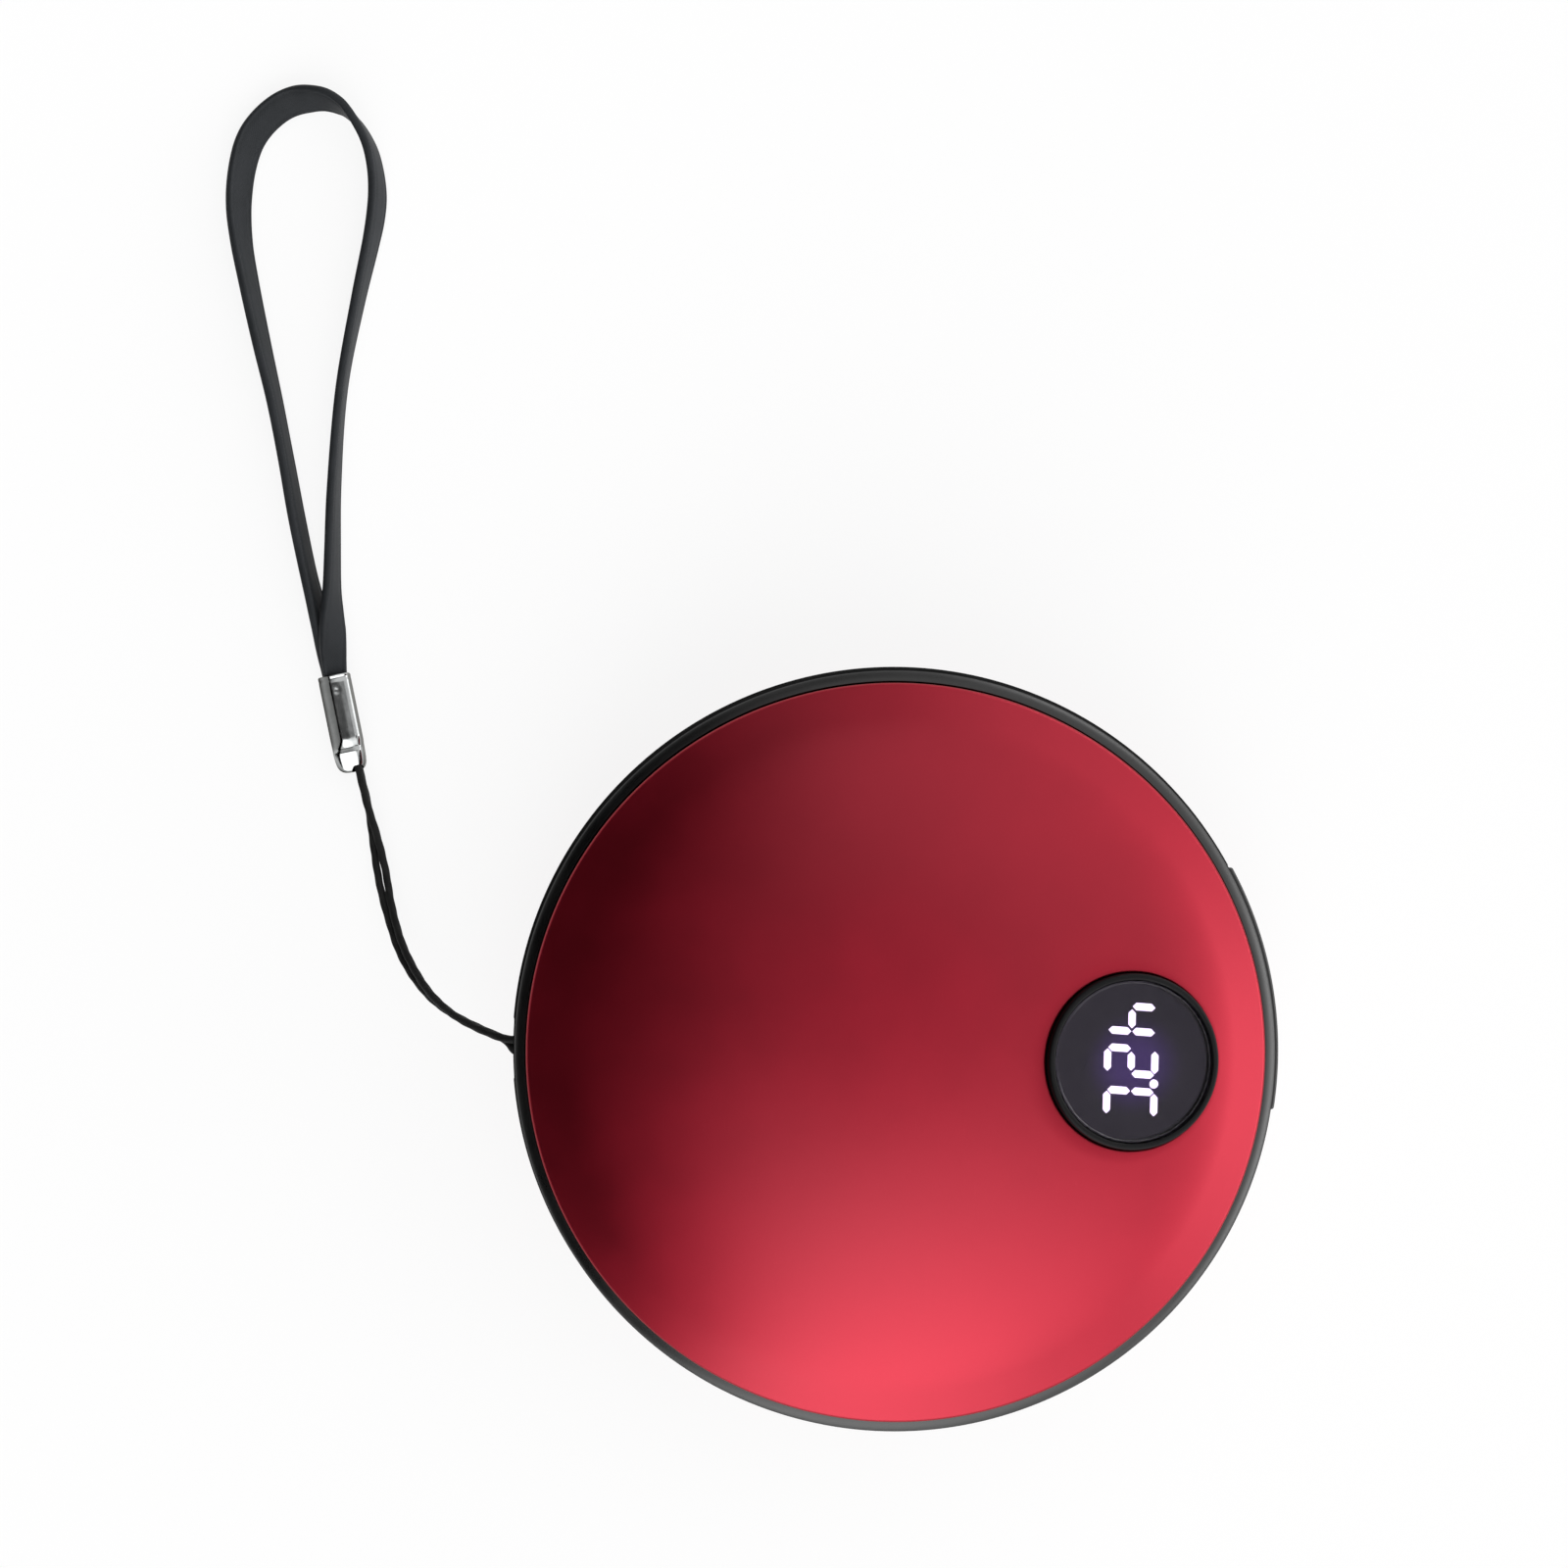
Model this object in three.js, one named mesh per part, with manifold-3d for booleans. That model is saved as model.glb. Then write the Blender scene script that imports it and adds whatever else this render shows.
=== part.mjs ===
// Electric hand warmer: a round pocket body with a metal dome on each side, a black rim that splits into
// two halves, a lit temperature window, a port panel, a power button and a wrist lanyard.
// Millimetres and degrees. +Z points up out of the front dome and +X towards the temperature window.
// The origin is the middle of the flat that the rear dome rests on.

import * as THREE from 'three';
import { mergeVertices } from 'three/addons/utils/BufferGeometryUtils.js';
import Module from 'manifold-3d';

const wasm = await Module();
wasm.setup();

// Fits and facets
const FIT = 0.3;
const SEAM = 0.2;
const REACH_THROUGH = 2;
const BODY_FACETS = 40;
const DISPLAY_FACETS = 28;
const PIN_FACETS = 12;
const DOME_STEPS = 8;
const FILM_STEPS = 5;
const FILM_FACETS = 24;
const CORNER_STEPS = 2;

// Body
const BODY_RADIUS = 40;
const RIM_HEIGHT = 11;
const RIM_WALL = 1.55;
const RIM_EDGE = 0.9;
const RIM_DRAFT = 0.5;
const RIM_INNER_LIP = 1.35;
const FRONT_DOME_HEIGHT = 10;
const REAR_DOME_HEIGHT = 10;
const REST_FLAT_RADIUS = 12;
const SHELL_WALL = 0.9;
const SKIRT_DEPTH = 1.2;

// Temperature window
const DISPLAY_SHARE = 0.63;
const DISPLAY_BEARING = -1.3;
const BEZEL_RADIUS = 9;
const BEZEL_PROUD = 0.5;
const BEZEL_EDGE = 0.3;
const BEZEL_DEPTH = 3.4;
const BEZEL_FLANGE = 1.6;
const BEZEL_FLANGE_THICKNESS = 0.9;
const LENS_RADIUS = 8.2;
const LENS_THICKNESS = 1.2;
const LENS_BEVEL = 0.3;
const LENS_SEAT = 0.5;
const LENS_RECESS = 0.1;
const MASK_THICKNESS = 0.6;
const LIGHT_GUIDE_THICKNESS = 0.8;
const WINDOW_CLEARANCE = 0.15;
const DISPLAY_BOARD_THICKNESS = 1;
const DIGIT_HEIGHT = 5.9;
const DIGIT_SPREAD = 2.5;
const DIGIT_PITCH = 4.3;
const SEGMENT_WIDTH = 0.9;
const SEGMENT_GAP = 0.25;
const DEGREE_DOT = 0.9;

// Main board and its parts
const BOARD_THICKNESS = 1.2;
const BOARD_MARGIN = 1.3;
const BOARD_FROM = -105;
const BOARD_TO = 45;
const BOARD_RIM_GAP = 0.8;
const INDUCTOR_SIZE = 6.5;
const INDUCTOR_HEIGHT = 4;
const INDUCTOR_CHAMFER = 1;
const INDUCTOR_BEARING = -38;
const CHIP_SIZE = 5;
const CHIP_HEIGHT = 1;
const CHIP_BEARING = -60;
const CHIP_INSET = 3;

// Sockets behind the port panel
const PANEL_STEPS = 4;
const PANEL_FROM = -9;
const PANEL_TO = 28.5;
const PANEL_HEIGHT = 6.4;
const PANEL_THICKNESS = 1.2;
const PANEL_PROUD = 0.05;
const USB_A = { across: 5, width: 13.1, height: 5.7, depth: 13.5, wall: 0.4, corner: 0.8 };
const USB_A_TONGUE = { width: 11, height: 1.9, setback: 1.5, block: 3 };
const CHARGE_PORT = { across: -7, width: 8.9, height: 3.2, depth: 7.4, wall: 0.3, corner: 1.6 };
const CHARGE_TONGUE = { width: 6.6, height: 0.7, setback: 0.8, block: 1.4 };

// Power button and its switch
const BUTTON_WIDTH = 7.4;
const BUTTON_HEIGHT = 3;
const BUTTON_PROUD = 0.25;
const BUTTON_TRAVEL = 0.5;
const BUTTON_FLANGE = 1;
const BUTTON_FLANGE_THICKNESS = 0.9;
const SWITCH_WIDTH = 6;
const SWITCH_DEPTH = 4;
const SWITCH_HEAD = 2.2;
const PLUNGER_RADIUS = 1.4;
const PLUNGER_REACH = 1;
const PLUNGER_LENGTH = 2.2;

// Chassis and battery
const CHASSIS_THICKNESS = 1.2;
const STANDOFF_HEIGHT = 2;
const STANDOFF_RADIUS = 2;
const CHASSIS_CLEARANCE = 0.8;
const CRADLE_WALL = 1.2;
const CRADLE_HEIGHT = 3;
const BATTERY_LENGTH = 36;
const BATTERY_WIDTH = 30;
const BATTERY_THICKNESS = 9.6;
const BATTERY_CORNER = 3;
const BATTERY_EDGE = 1.2;
const BATTERY_X = -7;
const BATTERY_Y = 3;
const BATTERY_PAD_THICKNESS = 0.6;
const BATTERY_PAD_INSET = 3;

// Heaters and temperature sensors
const HEATER_SHARE = 0.7;
const HEATER_THICKNESS = 0.4;
const HEATER_DISPLAY_GAP = 0.8;
const THERMISTOR_RADIUS = 1;
const THERMISTOR_LENGTH = 3;
const THERMISTOR_DISTANCE = 14;
const THERMISTOR_BEARING = 150;

// Screws
const RIM_SCREW_BEARINGS = [60, 120, 240, 300];
const SCREW_RADIUS = 1;
const SCREW_HEAD_RADIUS = 1.9;
const SCREW_HEAD_HEIGHT = 1.1;
const SCREW_LENGTH = 11;
const SCREW_SHELL_GAP = 0.7;
const BOSS_WALL = 1.3;
const BOSS_CAP = 1;
const BOSS_WEB = 2.4;
const INNER_SCREW_BEARING = -76;
const INNER_SCREW_INSET = 3.5;
const OUTER_SCREW_BEARING = 37.5;
const OUTER_SCREW_INSET = 3.8;
const BOARD_SCREW_RADIUS = 0.7;
const BOARD_SCREW_HEAD_RADIUS = 1.4;
const BOARD_SCREW_HEAD_HEIGHT = 0.8;
const BOARD_SCREW_BITE = 2;

// Leads inside the body
const LEAD_RADIUS = 0.6;
const LEAD_HOLE_RADIUS = 1.6;
const BATTERY_LEAD_BEARINGS = { positive: 28, negative: 36 };
const BATTERY_LEAD_SPACING = 3;
const LEAD_LANDING = 1.6;
const FRONT_LEAD_BEARING = -98;
const REAR_LEAD_BEARING = -45;
const LEAD_BOW = 1.2;
const CABLE_WIDTH = 4;
const CABLE_THICKNESS = 0.4;
const CABLE_BOW = 0.8;
const CABLE_INSET = 0.55;
const CABLE_OFFSET = 5.4;

// Lanyard
const PIN_RADIUS = 1;
const PIN_DEPTH = 2.8;
const PIN_SEAT = 0.8;
const PIN_FIT = 0.2;
const POCKET_WIDTH = 6.4;
const POCKET_HEIGHT = 4.6;
const LUG_WALL = 1.2;
const CORD_DIAMETER = 0.8;
const CORD_FIT = 0.3;
const CORD_STEPS = 80;
const PAIR_SPREAD = 0.45;
const STRAP_WIDTH = 3.3;
const STRAP_END_WIDTH = 2.4;
const STRAP_THICKNESS = 0.9;
const STRAP_STEPS = 72;
const CRIMP_WIDTH = 3.4;
const CRIMP_LENGTH = 10.7;
const CRIMP_HEIGHT = 3.3;
const CRIMP_LIFT = 0.25;
const CRIMP_TURN = 11.5;
const CRIMP_X = -18.2;
const CRIMP_Y = 29;
const CRIMP_SOCKET_DEPTH = 3;
const CRIMP_SLOT_DEPTH = 4;
const CRIMP_CORD_OFFSET = 0.6;
const CRIMP_DIMPLE = 0.6;
const CRIMP_CORNER = 1.2;

// The cord's two strands run together from the rim to the crimp: x from the rim's side, y, the height as a
// share of the rim's own, and the turn of the pair, which is 90 where one strand lies on the other and 0
// where they lie side by side.
const CORD_ROUTE = [
  [-2.5, 1.45, 0.89, 90],
  [-4.2, 2.1, 0.795, 90],
  [-6, 2.9, 0.685, 86],
  [-7.8, 3.95, 0.55, 76],
  [-9.5, 5.3, 0.42, 64],
  [-11.5, 7.7, 0.25, 48],
  [-12.9, 10.2, 0.145, 42],
  [-13.8, 12.7, 0.075, 40],
  [-14.5, 15.2, 0.03, 26],
  [-15, 17.7, 0.01, 0],
  [-15.5, 20.3, 0, 30],
  [-16, 22.8, 0, 60],
  [-16.6, 25.4, 0, 88],
  [-17.2, 27.9, 0, 90],
  [-17.6, 29.6, 0, 90],
  [-17.95, 31.3, 0, 90],
];

// One strand's way in to the pin and the other's way out of the rim, with heights from the rim's middle
const CORD_INWARD = [[-0.75, 0.95, -0.05], [0.5, 0.95, 0.35]];
const CORD_OUTWARD = [[0.8, -0.75, -0.5], [-0.1, -0.15, -0.65], [-0.55, 0.5, -0.8], [-1.3, 1.05, -1.25]];

// The strap's loop, from the crimp's lower layer round to its upper one: x from the rim's side, y, z and the
// lean of its inner face, which is 0 where that face looks up, 90 where it looks into the loop and 180 where
// it looks down.
const STRAP_ROUTE = [
  [-19.72, 36.45, 1.3, 0],
  [-20.3, 39.5, 1.3, 4],
  [-21.25, 43.6, 1.6, 48],
  [-21.95, 46.3, 1.85, 66],
  [-22.9, 50, 1.95, 75],
  [-24.25, 56.4, 1.95, 73],
  [-25.4, 62.7, 1.95, 77],
  [-26.65, 69.1, 1.95, 77],
  [-28.1, 75.5, 1.95, 70],
  [-29.45, 81.9, 1.95, 66],
  [-30.3, 86.6, 1.9, 61],
  [-30.6, 90.7, 1.75, 46],
  [-30.2, 94.6, 1.7, 41],
  [-29.4, 97.4, 1.5, 31],
  [-28.2, 99.3, 1.3, 21],
  [-26.3, 101, 1.3, 20],
  [-24.6, 101.8, 1.35, 24],
  [-22.9, 102, 1.7, 42],
  [-21.2, 101.85, 1.9, 59],
  [-19.5, 101.1, 1.95, 77],
  [-18.65, 100.4, 1.95, 86],
  [-17.75, 99.3, 1.95, 94],
  [-16.85, 97.8, 1.95, 98],
  [-16.2, 96.2, 1.95, 102],
  [-15.7, 93.8, 1.95, 106],
  [-15.55, 91.4, 1.95, 111],
  [-15.75, 89.1, 1.95, 111],
  [-16.2, 86.6, 1.95, 107],
  [-17.6, 80.3, 1.95, 99],
  [-19.4, 70.7, 1.9, 92],
  [-20.25, 59.6, 1.95, 99],
  [-20.4, 53.2, 1.95, 104],
  [-20.45, 49, 2.05, 108],
  [-20.42, 46.6, 2.3, 122],
  [-20.35, 44.4, 2.55, 138],
  [-20.25, 41.8, 2.6, 160],
  [-20.22, 39.5, 2.5, 176],
  [-19.7, 36.45, 2.5, 180],
];

// Places that follow from the sizes
const rimBottom = REAR_DOME_HEIGHT;
const rimTop = rimBottom + RIM_HEIGHT;
const rimMiddle = (rimBottom + rimTop) / 2;
const grooveOuter = BODY_RADIUS - RIM_WALL;
const shellRadius = grooveOuter - FIT;
const shellInnerRadius = shellRadius - SHELL_WALL;
const grooveInner = shellInnerRadius - FIT;
const rimInner = grooveInner - RIM_INNER_LIP;
const grooveDepth = SKIRT_DEPTH + FIT;

const rearSemiHeight = REAR_DOME_HEIGHT / Math.sqrt(1 - (REST_FLAT_RADIUS / shellRadius) ** 2);
const frontInnerHeight = FRONT_DOME_HEIGHT - SHELL_WALL;
const rearInnerHeight = rearSemiHeight - SHELL_WALL;

const boardTop = rimMiddle - USB_A.height / 2 - FIT;
const boardBottom = boardTop - BOARD_THICKNESS;
const chassisTop = boardBottom - FIT - STANDOFF_HEIGHT;
const chassisBottom = chassisTop - CHASSIS_THICKNESS;
const batteryBottom = chassisTop + BATTERY_PAD_THICKNESS + 2 * FIT;

const screwHeadTop = chassisBottom - FIT;
const screwHeadBottom = screwHeadTop - SCREW_HEAD_HEIGHT;
const screwTop = screwHeadTop + SCREW_LENGTH;
const bossRadius = SCREW_RADIUS + FIT + BOSS_WALL;
const screwCircle = rearRoomRadius(screwHeadBottom) - SCREW_HEAD_RADIUS - SCREW_SHELL_GAP;
const chassisRadius = rearRoomRadius(chassisBottom) - CHASSIS_CLEARANCE;
const boardOuterRadius = rimInner - BOARD_RIM_GAP;

const panelOuter = BODY_RADIUS + PANEL_PROUD;
const panelInner = panelOuter - PANEL_THICKNESS;
const panelBearing = (PANEL_FROM + PANEL_TO) / 2;

const boardInnerRadius = mouthOf(USB_A) - USB_A.depth - BOARD_MARGIN;
const boardMiddleRadius = (boardInnerRadius + boardOuterRadius) / 2;
const boardScrewPlaces = [
  { bearing: INNER_SCREW_BEARING, distance: boardInnerRadius + INNER_SCREW_INSET },
  { bearing: OUTER_SCREW_BEARING, distance: boardOuterRadius - OUTER_SCREW_INSET },
];
const displayDistance = DISPLAY_SHARE * shellRadius;
const heaterRadius = HEATER_SHARE * shellInnerRadius;

const cordRadius = CORD_DIAMETER / 2;
const wrapRadius = PIN_RADIUS + CORD_FIT + cordRadius;
const rimSide = -BODY_RADIUS;
const pinX = rimSide + PIN_DEPTH;
const pocketBack = pinX + wrapRadius + cordRadius + FIT;
const pinLength = POCKET_HEIGHT + 2 * PIN_SEAT;
const crimpMiddle = CRIMP_LIFT + CRIMP_HEIGHT / 2;

// Heights inside the two domes
function frontCeiling(radius) {
  return rimTop + frontInnerHeight * Math.sqrt(1 - (radius / shellInnerRadius) ** 2);
}

function rearFloor(radius) {
  const dome = rimBottom - rearInnerHeight * Math.sqrt(1 - (radius / shellInnerRadius) ** 2);
  return Math.max(SHELL_WALL, dome);
}

// How far out a socket's mouth stands, clear of the panel's curved back
function mouthOf(port) {
  const farEdge = Math.abs(port.across) + port.width / 2;
  return Math.sqrt(panelInner ** 2 - farEdge ** 2) - FIT;
}

// How far the rear shell's inside reaches from the axis at a height
function rearRoomRadius(z) {
  const share = Math.max(0, rimBottom - z) / rearInnerHeight;
  return shellInnerRadius * Math.sqrt(1 - share ** 2);
}

const radians = THREE.MathUtils.degToRad;

function polar(distance, bearing) {
  return [distance * Math.cos(radians(bearing)), distance * Math.sin(radians(bearing))];
}

// Basic solids
function block(x, y, z) {
  const [size, middle] = [[x, y, z].map(([a, b]) => b - a), [x, y, z].map(([a, b]) => (a + b) / 2)];
  return new THREE.BoxGeometry(...size).translate(...middle);
}

function post(radius, z, x = 0, y = 0, facets = PIN_FACETS) {
  const geometry = new THREE.CylinderGeometry(radius, radius, z[1] - z[0], facets).rotateX(Math.PI / 2);
  return geometry.translate(x, y, (z[0] + z[1]) / 2);
}

// Profile points of radius and height, counter-clockwise, turned about Z
function turned(profile, facets) {
  const points = profile.map(([radius, z]) => new THREE.Vector2(radius, z));
  return new THREE.LatheGeometry(points, facets).rotateX(Math.PI / 2);
}

function extruded(shape, z, curveSegments = CORNER_STEPS) {
  const options = { depth: z[1] - z[0], bevelEnabled: false, curveSegments };
  return new THREE.ExtrudeGeometry(shape, options).translate(0, 0, z[0]);
}

function roundedRectangle(width, height, corner) {
  const [x, y, r] = [width / 2, height / 2, Math.min(corner, width / 2, height / 2)];
  const shape = new THREE.Shape();
  shape.absarc(x - r, y - r, r, 0, Math.PI / 2);
  shape.absarc(r - x, y - r, r, Math.PI / 2, Math.PI);
  shape.absarc(r - x, r - y, r, Math.PI, 1.5 * Math.PI);
  shape.absarc(x - r, r - y, r, 1.5 * Math.PI, 2 * Math.PI);
  return shape;
}

function ringSector(inner, outer, from, to) {
  const shape = new THREE.Shape();
  shape.absarc(0, 0, outer, radians(from), radians(to), false);
  shape.absarc(0, 0, inner, radians(to), radians(from), true);
  return shape;
}

// A pill-shaped bar along Y
function pillBar(width, height, y, z) {
  const bar = extruded(roundedRectangle(width, height, height / 2), [0, y[1] - y[0]]);
  return bar.rotateX(Math.PI / 2).translate(0, y[1], z);
}

// A closed section of side and up offsets, swept through frames of origin, side and up
function swept(frames, sectionAt) {
  const positions = [];
  const index = [];
  const count = sectionAt(0).length;
  frames.forEach(({ origin, side, up }, ring) => {
    for (const [across, rise] of sectionAt(ring)) {
      positions.push(...origin.clone().addScaledVector(side, across).addScaledVector(up, rise));
    }
  });
  for (let ring = 0; ring < frames.length - 1; ring += 1) {
    for (let k = 0; k < count; k += 1) {
      const [a, b] = [ring * count + k, ring * count + ((k + 1) % count)];
      index.push(a, b, b + count, a, b + count, a + count);
    }
  }
  const last = (frames.length - 1) * count;
  for (let k = 1; k < count - 1; k += 1) {
    index.push(0, k + 1, k, last, last + k, last + k + 1);
  }
  const geometry = new THREE.BufferGeometry();
  geometry.setAttribute('position', new THREE.Float32BufferAttribute(positions, 3));
  geometry.setIndex(index);
  return geometry;
}

// A round lead or cord through points
function tube(points, radius, steps, sides = 8) {
  const section = new THREE.Shape();
  section.absarc(0, 0, radius, 0, 2 * Math.PI);
  const path = new THREE.CatmullRomCurve3(points.map((point) => new THREE.Vector3(...point)));
  const options = { steps, bevelEnabled: false, extrudePath: path, curveSegments: sides / 2 };
  return new THREE.ExtrudeGeometry(section, options);
}

// Joining and cutting
function solid(geometry, matrix) {
  const bare = new THREE.BufferGeometry();
  bare.setAttribute('position', geometry.getAttribute('position').clone());
  bare.setIndex(geometry.index);
  if (matrix) {
    bare.applyMatrix4(matrix);
  }
  const merged = mergeVertices(bare, 1e-4);
  const corners = merged.index.array;
  const kept = [];
  for (let i = 0; i < corners.length; i += 3) {
    const [a, b, c] = [corners[i], corners[i + 1], corners[i + 2]];
    if (a !== b && b !== c && c !== a) {
      kept.push(a, b, c);
    }
  }
  const vertProperties = new Float32Array(merged.getAttribute('position').array);
  return new wasm.Manifold(new wasm.Mesh({ numProp: 3, vertProperties, triVerts: new Uint32Array(kept) }));
}

function geometryOf(body) {
  const mesh = body.getMesh();
  const geometry = new THREE.BufferGeometry();
  geometry.setAttribute('position', new THREE.BufferAttribute(mesh.vertProperties, 3));
  geometry.setIndex(new THREE.BufferAttribute(mesh.triVerts, 1));
  geometry.computeVertexNormals();
  return geometry;
}

function shaped(base, added, cut) {
  let body = solid(base);
  for (const geometry of added) {
    body = body.add(solid(geometry));
  }
  for (const geometry of cut) {
    body = body.subtract(solid(geometry));
  }
  return geometryOf(body);
}

// Finishes
const finish = (color, roughness, metalness) => () => {
  return new THREE.MeshStandardMaterial({ color, roughness, metalness });
};
const redMetal = finish(0xa01c2c, 0.38, 0.9);
const blackPlastic = finish(0x1c1d1f, 0.5, 0);
const greyPlastic = finish(0x55585c, 0.6, 0);
const smokedLens = finish(0x0b0a10, 0.05, 0);
const litWhite = finish(0xf4f2ff, 0.4, 0);
const chrome = finish(0xd8dadd, 0.12, 1);
const steel = finish(0xb5b8bc, 0.35, 1);
const greenBoard = finish(0x1f5a3a, 0.5, 0);
const blackChip = finish(0x18181a, 0.6, 0);
const ferrite = finish(0x3a3a3d, 0.7, 0);
const silverFoil = finish(0xb9bcc2, 0.4, 0.6);
const paleFoam = finish(0xd9d6cc, 0.9, 0);
const amberFilm = finish(0xb5742a, 0.4, 0);
const redInsulation = finish(0xb32020, 0.5, 0);
const blackInsulation = finish(0x202022, 0.5, 0);
const whiteInsulation = finish(0xdedede, 0.5, 0);
const darkStrap = finish(0x35383c, 0.65, 0);
const blackCord = finish(0x18181a, 0.75, 0);

const handWarmer = new THREE.Group();

function part(name, material, geometry, parent = handWarmer) {
  const mesh = new THREE.Mesh(geometry, material());
  mesh.name = name;
  parent.add(mesh);
  return mesh;
}

// Placing group of the temperature window: its own Z is the dome's outward normal there
const displayRise = Math.sqrt(1 - DISPLAY_SHARE ** 2);
const displayTilt = Math.atan((FRONT_DOME_HEIGHT / shellRadius) * (DISPLAY_SHARE / displayRise));
const display = new THREE.Group();
display.position.set(...polar(displayDistance, DISPLAY_BEARING), rimTop + FRONT_DOME_HEIGHT * displayRise);
display.rotation.set(0, displayTilt, radians(DISPLAY_BEARING), 'ZYX');
display.updateMatrix();
handWarmer.add(display);

function displayBore(radius) {
  const bore = post(radius, [-2 * BEZEL_DEPTH, 2 * BEZEL_DEPTH], 0, 0, DISPLAY_FACETS);
  return bore.applyMatrix4(display.matrix);
}

// The two sockets point out along one bearing
const ports = new THREE.Group();
ports.rotation.z = radians(panelBearing);
ports.updateMatrix();
handWarmer.add(ports);

// Metal shells: part of an ellipse from the edge, at angle 0, up to the crown
function domeArc(radius, height, from, to) {
  return Array.from({ length: DOME_STEPS + 1 }, (_, i) => {
    const angle = from + ((to - from) * i) / DOME_STEPS;
    return [angle === Math.PI / 2 ? 0 : radius * Math.cos(angle), height * Math.sin(angle)];
  });
}

function frontShell() {
  const lift = ([radius, height]) => [radius, rimTop + height];
  const inside = domeArc(shellInnerRadius, frontInnerHeight, Math.PI / 2, 0).map(lift);
  const outside = domeArc(shellRadius, FRONT_DOME_HEIGHT, 0, Math.PI / 2).map(lift);
  const skirt = [[shellInnerRadius, rimTop - SKIRT_DEPTH], [shellRadius, rimTop - SKIRT_DEPTH]];
  const dome = turned([...inside, ...skirt, ...outside], BODY_FACETS);
  return shaped(dome, [], [displayBore(BEZEL_RADIUS + FIT)]);
}

function rearShell() {
  const drop = ([radius, height]) => [radius, rimBottom - height];
  const flatAngle = Math.acos(REST_FLAT_RADIUS / shellRadius);
  const innerFlatAngle = Math.asin((REAR_DOME_HEIGHT - SHELL_WALL) / rearInnerHeight);
  const outside = domeArc(shellRadius, rearSemiHeight, flatAngle, 0).map(drop);
  const inside = domeArc(shellInnerRadius, rearInnerHeight, 0, innerFlatAngle).map(drop);
  const skirt = [[shellRadius, rimBottom + SKIRT_DEPTH], [shellInnerRadius, rimBottom + SKIRT_DEPTH]];
  return turned([[0, 0], ...outside, ...skirt, ...inside, [0, SHELL_WALL]], BODY_FACETS);
}

part('front_shell', redMetal, frontShell());
part('rear_shell', redMetal, rearShell());

// Rim halves: a grooved ring, screw bosses, a lug for the lanyard pin, and cuts for what shows in its side
function rimProfile() {
  const shoulder = BODY_RADIUS - RIM_DRAFT;
  const edge = Math.min(RIM_EDGE, 0.9 * (shoulder - grooveOuter));
  const arc = [22.5, 45, 67.5].map((turn) => [
    shoulder - edge + edge * Math.cos(radians(turn)),
    rimTop - edge + edge * Math.sin(radians(turn)),
  ]);
  return [
    [rimInner, rimMiddle + SEAM / 2],
    [BODY_RADIUS, rimMiddle + SEAM / 2],
    [shoulder, rimTop - edge],
    ...arc,
    [shoulder - edge, rimTop],
    [grooveOuter, rimTop],
    [grooveOuter, rimTop - grooveDepth],
    [grooveInner, rimTop - grooveDepth],
    [grooveInner, rimTop],
    [rimInner, rimTop],
    [rimInner, rimMiddle + SEAM / 2],
  ];
}

function boss(bearing, z, webZ) {
  const web = block([screwCircle, rimInner + RIM_INNER_LIP / 2], [-BOSS_WEB / 2, BOSS_WEB / 2], webZ);
  return [post(bossRadius, z, ...polar(screwCircle, bearing)), web.rotateZ(radians(bearing))];
}

function lug(z) {
  const halfWidth = POCKET_WIDTH / 2 + LUG_WALL;
  return block([-rimInner - RIM_INNER_LIP / 2, pocketBack + LUG_WALL], [-halfWidth, halfWidth], z);
}

function socketWindow(port, z) {
  const halfWidth = port.width / 2 + FIT;
  const reach = [rimInner - REACH_THROUGH, BODY_RADIUS + REACH_THROUGH];
  const cut = block(reach, [port.across - halfWidth, port.across + halfWidth], z);
  return cut.applyMatrix4(ports.matrix);
}

function panelPocket() {
  const play = THREE.MathUtils.radToDeg(FIT / BODY_RADIUS);
  const outer = BODY_RADIUS + REACH_THROUGH;
  const outline = ringSector(panelInner - FIT, outer, PANEL_FROM - play, PANEL_TO + play);
  const half = PANEL_HEIGHT / 2 + FIT;
  return extruded(outline, [rimMiddle - half, rimMiddle + half], PANEL_STEPS);
}

const socketWindowZ = [boardTop, rimMiddle + USB_A.height / 2 + FIT];
const sideCuts = () => [
  panelPocket(),
  socketWindow(USB_A, socketWindowZ),
  socketWindow(CHARGE_PORT, socketWindowZ),
  pillBar(
    BUTTON_WIDTH + 2 * FIT,
    BUTTON_HEIGHT + 2 * FIT,
    [-BODY_RADIUS - REACH_THROUGH, REACH_THROUGH - rimInner],
    rimMiddle,
  ),
  block(
    [-BODY_RADIUS - REACH_THROUGH, pocketBack],
    [-POCKET_WIDTH / 2, POCKET_WIDTH / 2],
    [rimMiddle - POCKET_HEIGHT / 2, rimMiddle + POCKET_HEIGHT / 2],
  ),
  post(PIN_RADIUS + PIN_FIT, [rimMiddle - pinLength / 2 - FIT, rimMiddle + pinLength / 2 + FIT], pinX),
];

const screwHoles = (z) => RIM_SCREW_BEARINGS.map((bearing) => {
  return post(SCREW_RADIUS + FIT, z, ...polar(screwCircle, bearing));
});

function frontRim() {
  const seam = rimMiddle + SEAM / 2;
  const bossTop = screwTop + FIT + BOSS_CAP;
  const lugTop = rimMiddle + pinLength / 2 + FIT + LUG_WALL;
  const bosses = RIM_SCREW_BEARINGS.flatMap((bearing) => boss(bearing, [seam, bossTop], [seam, rimTop]));
  const ring = turned(rimProfile(), BODY_FACETS);
  const cuts = [...sideCuts(), ...screwHoles([0, screwTop + FIT])];
  return shaped(ring, [...bosses, lug([seam, lugTop])], cuts);
}

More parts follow.
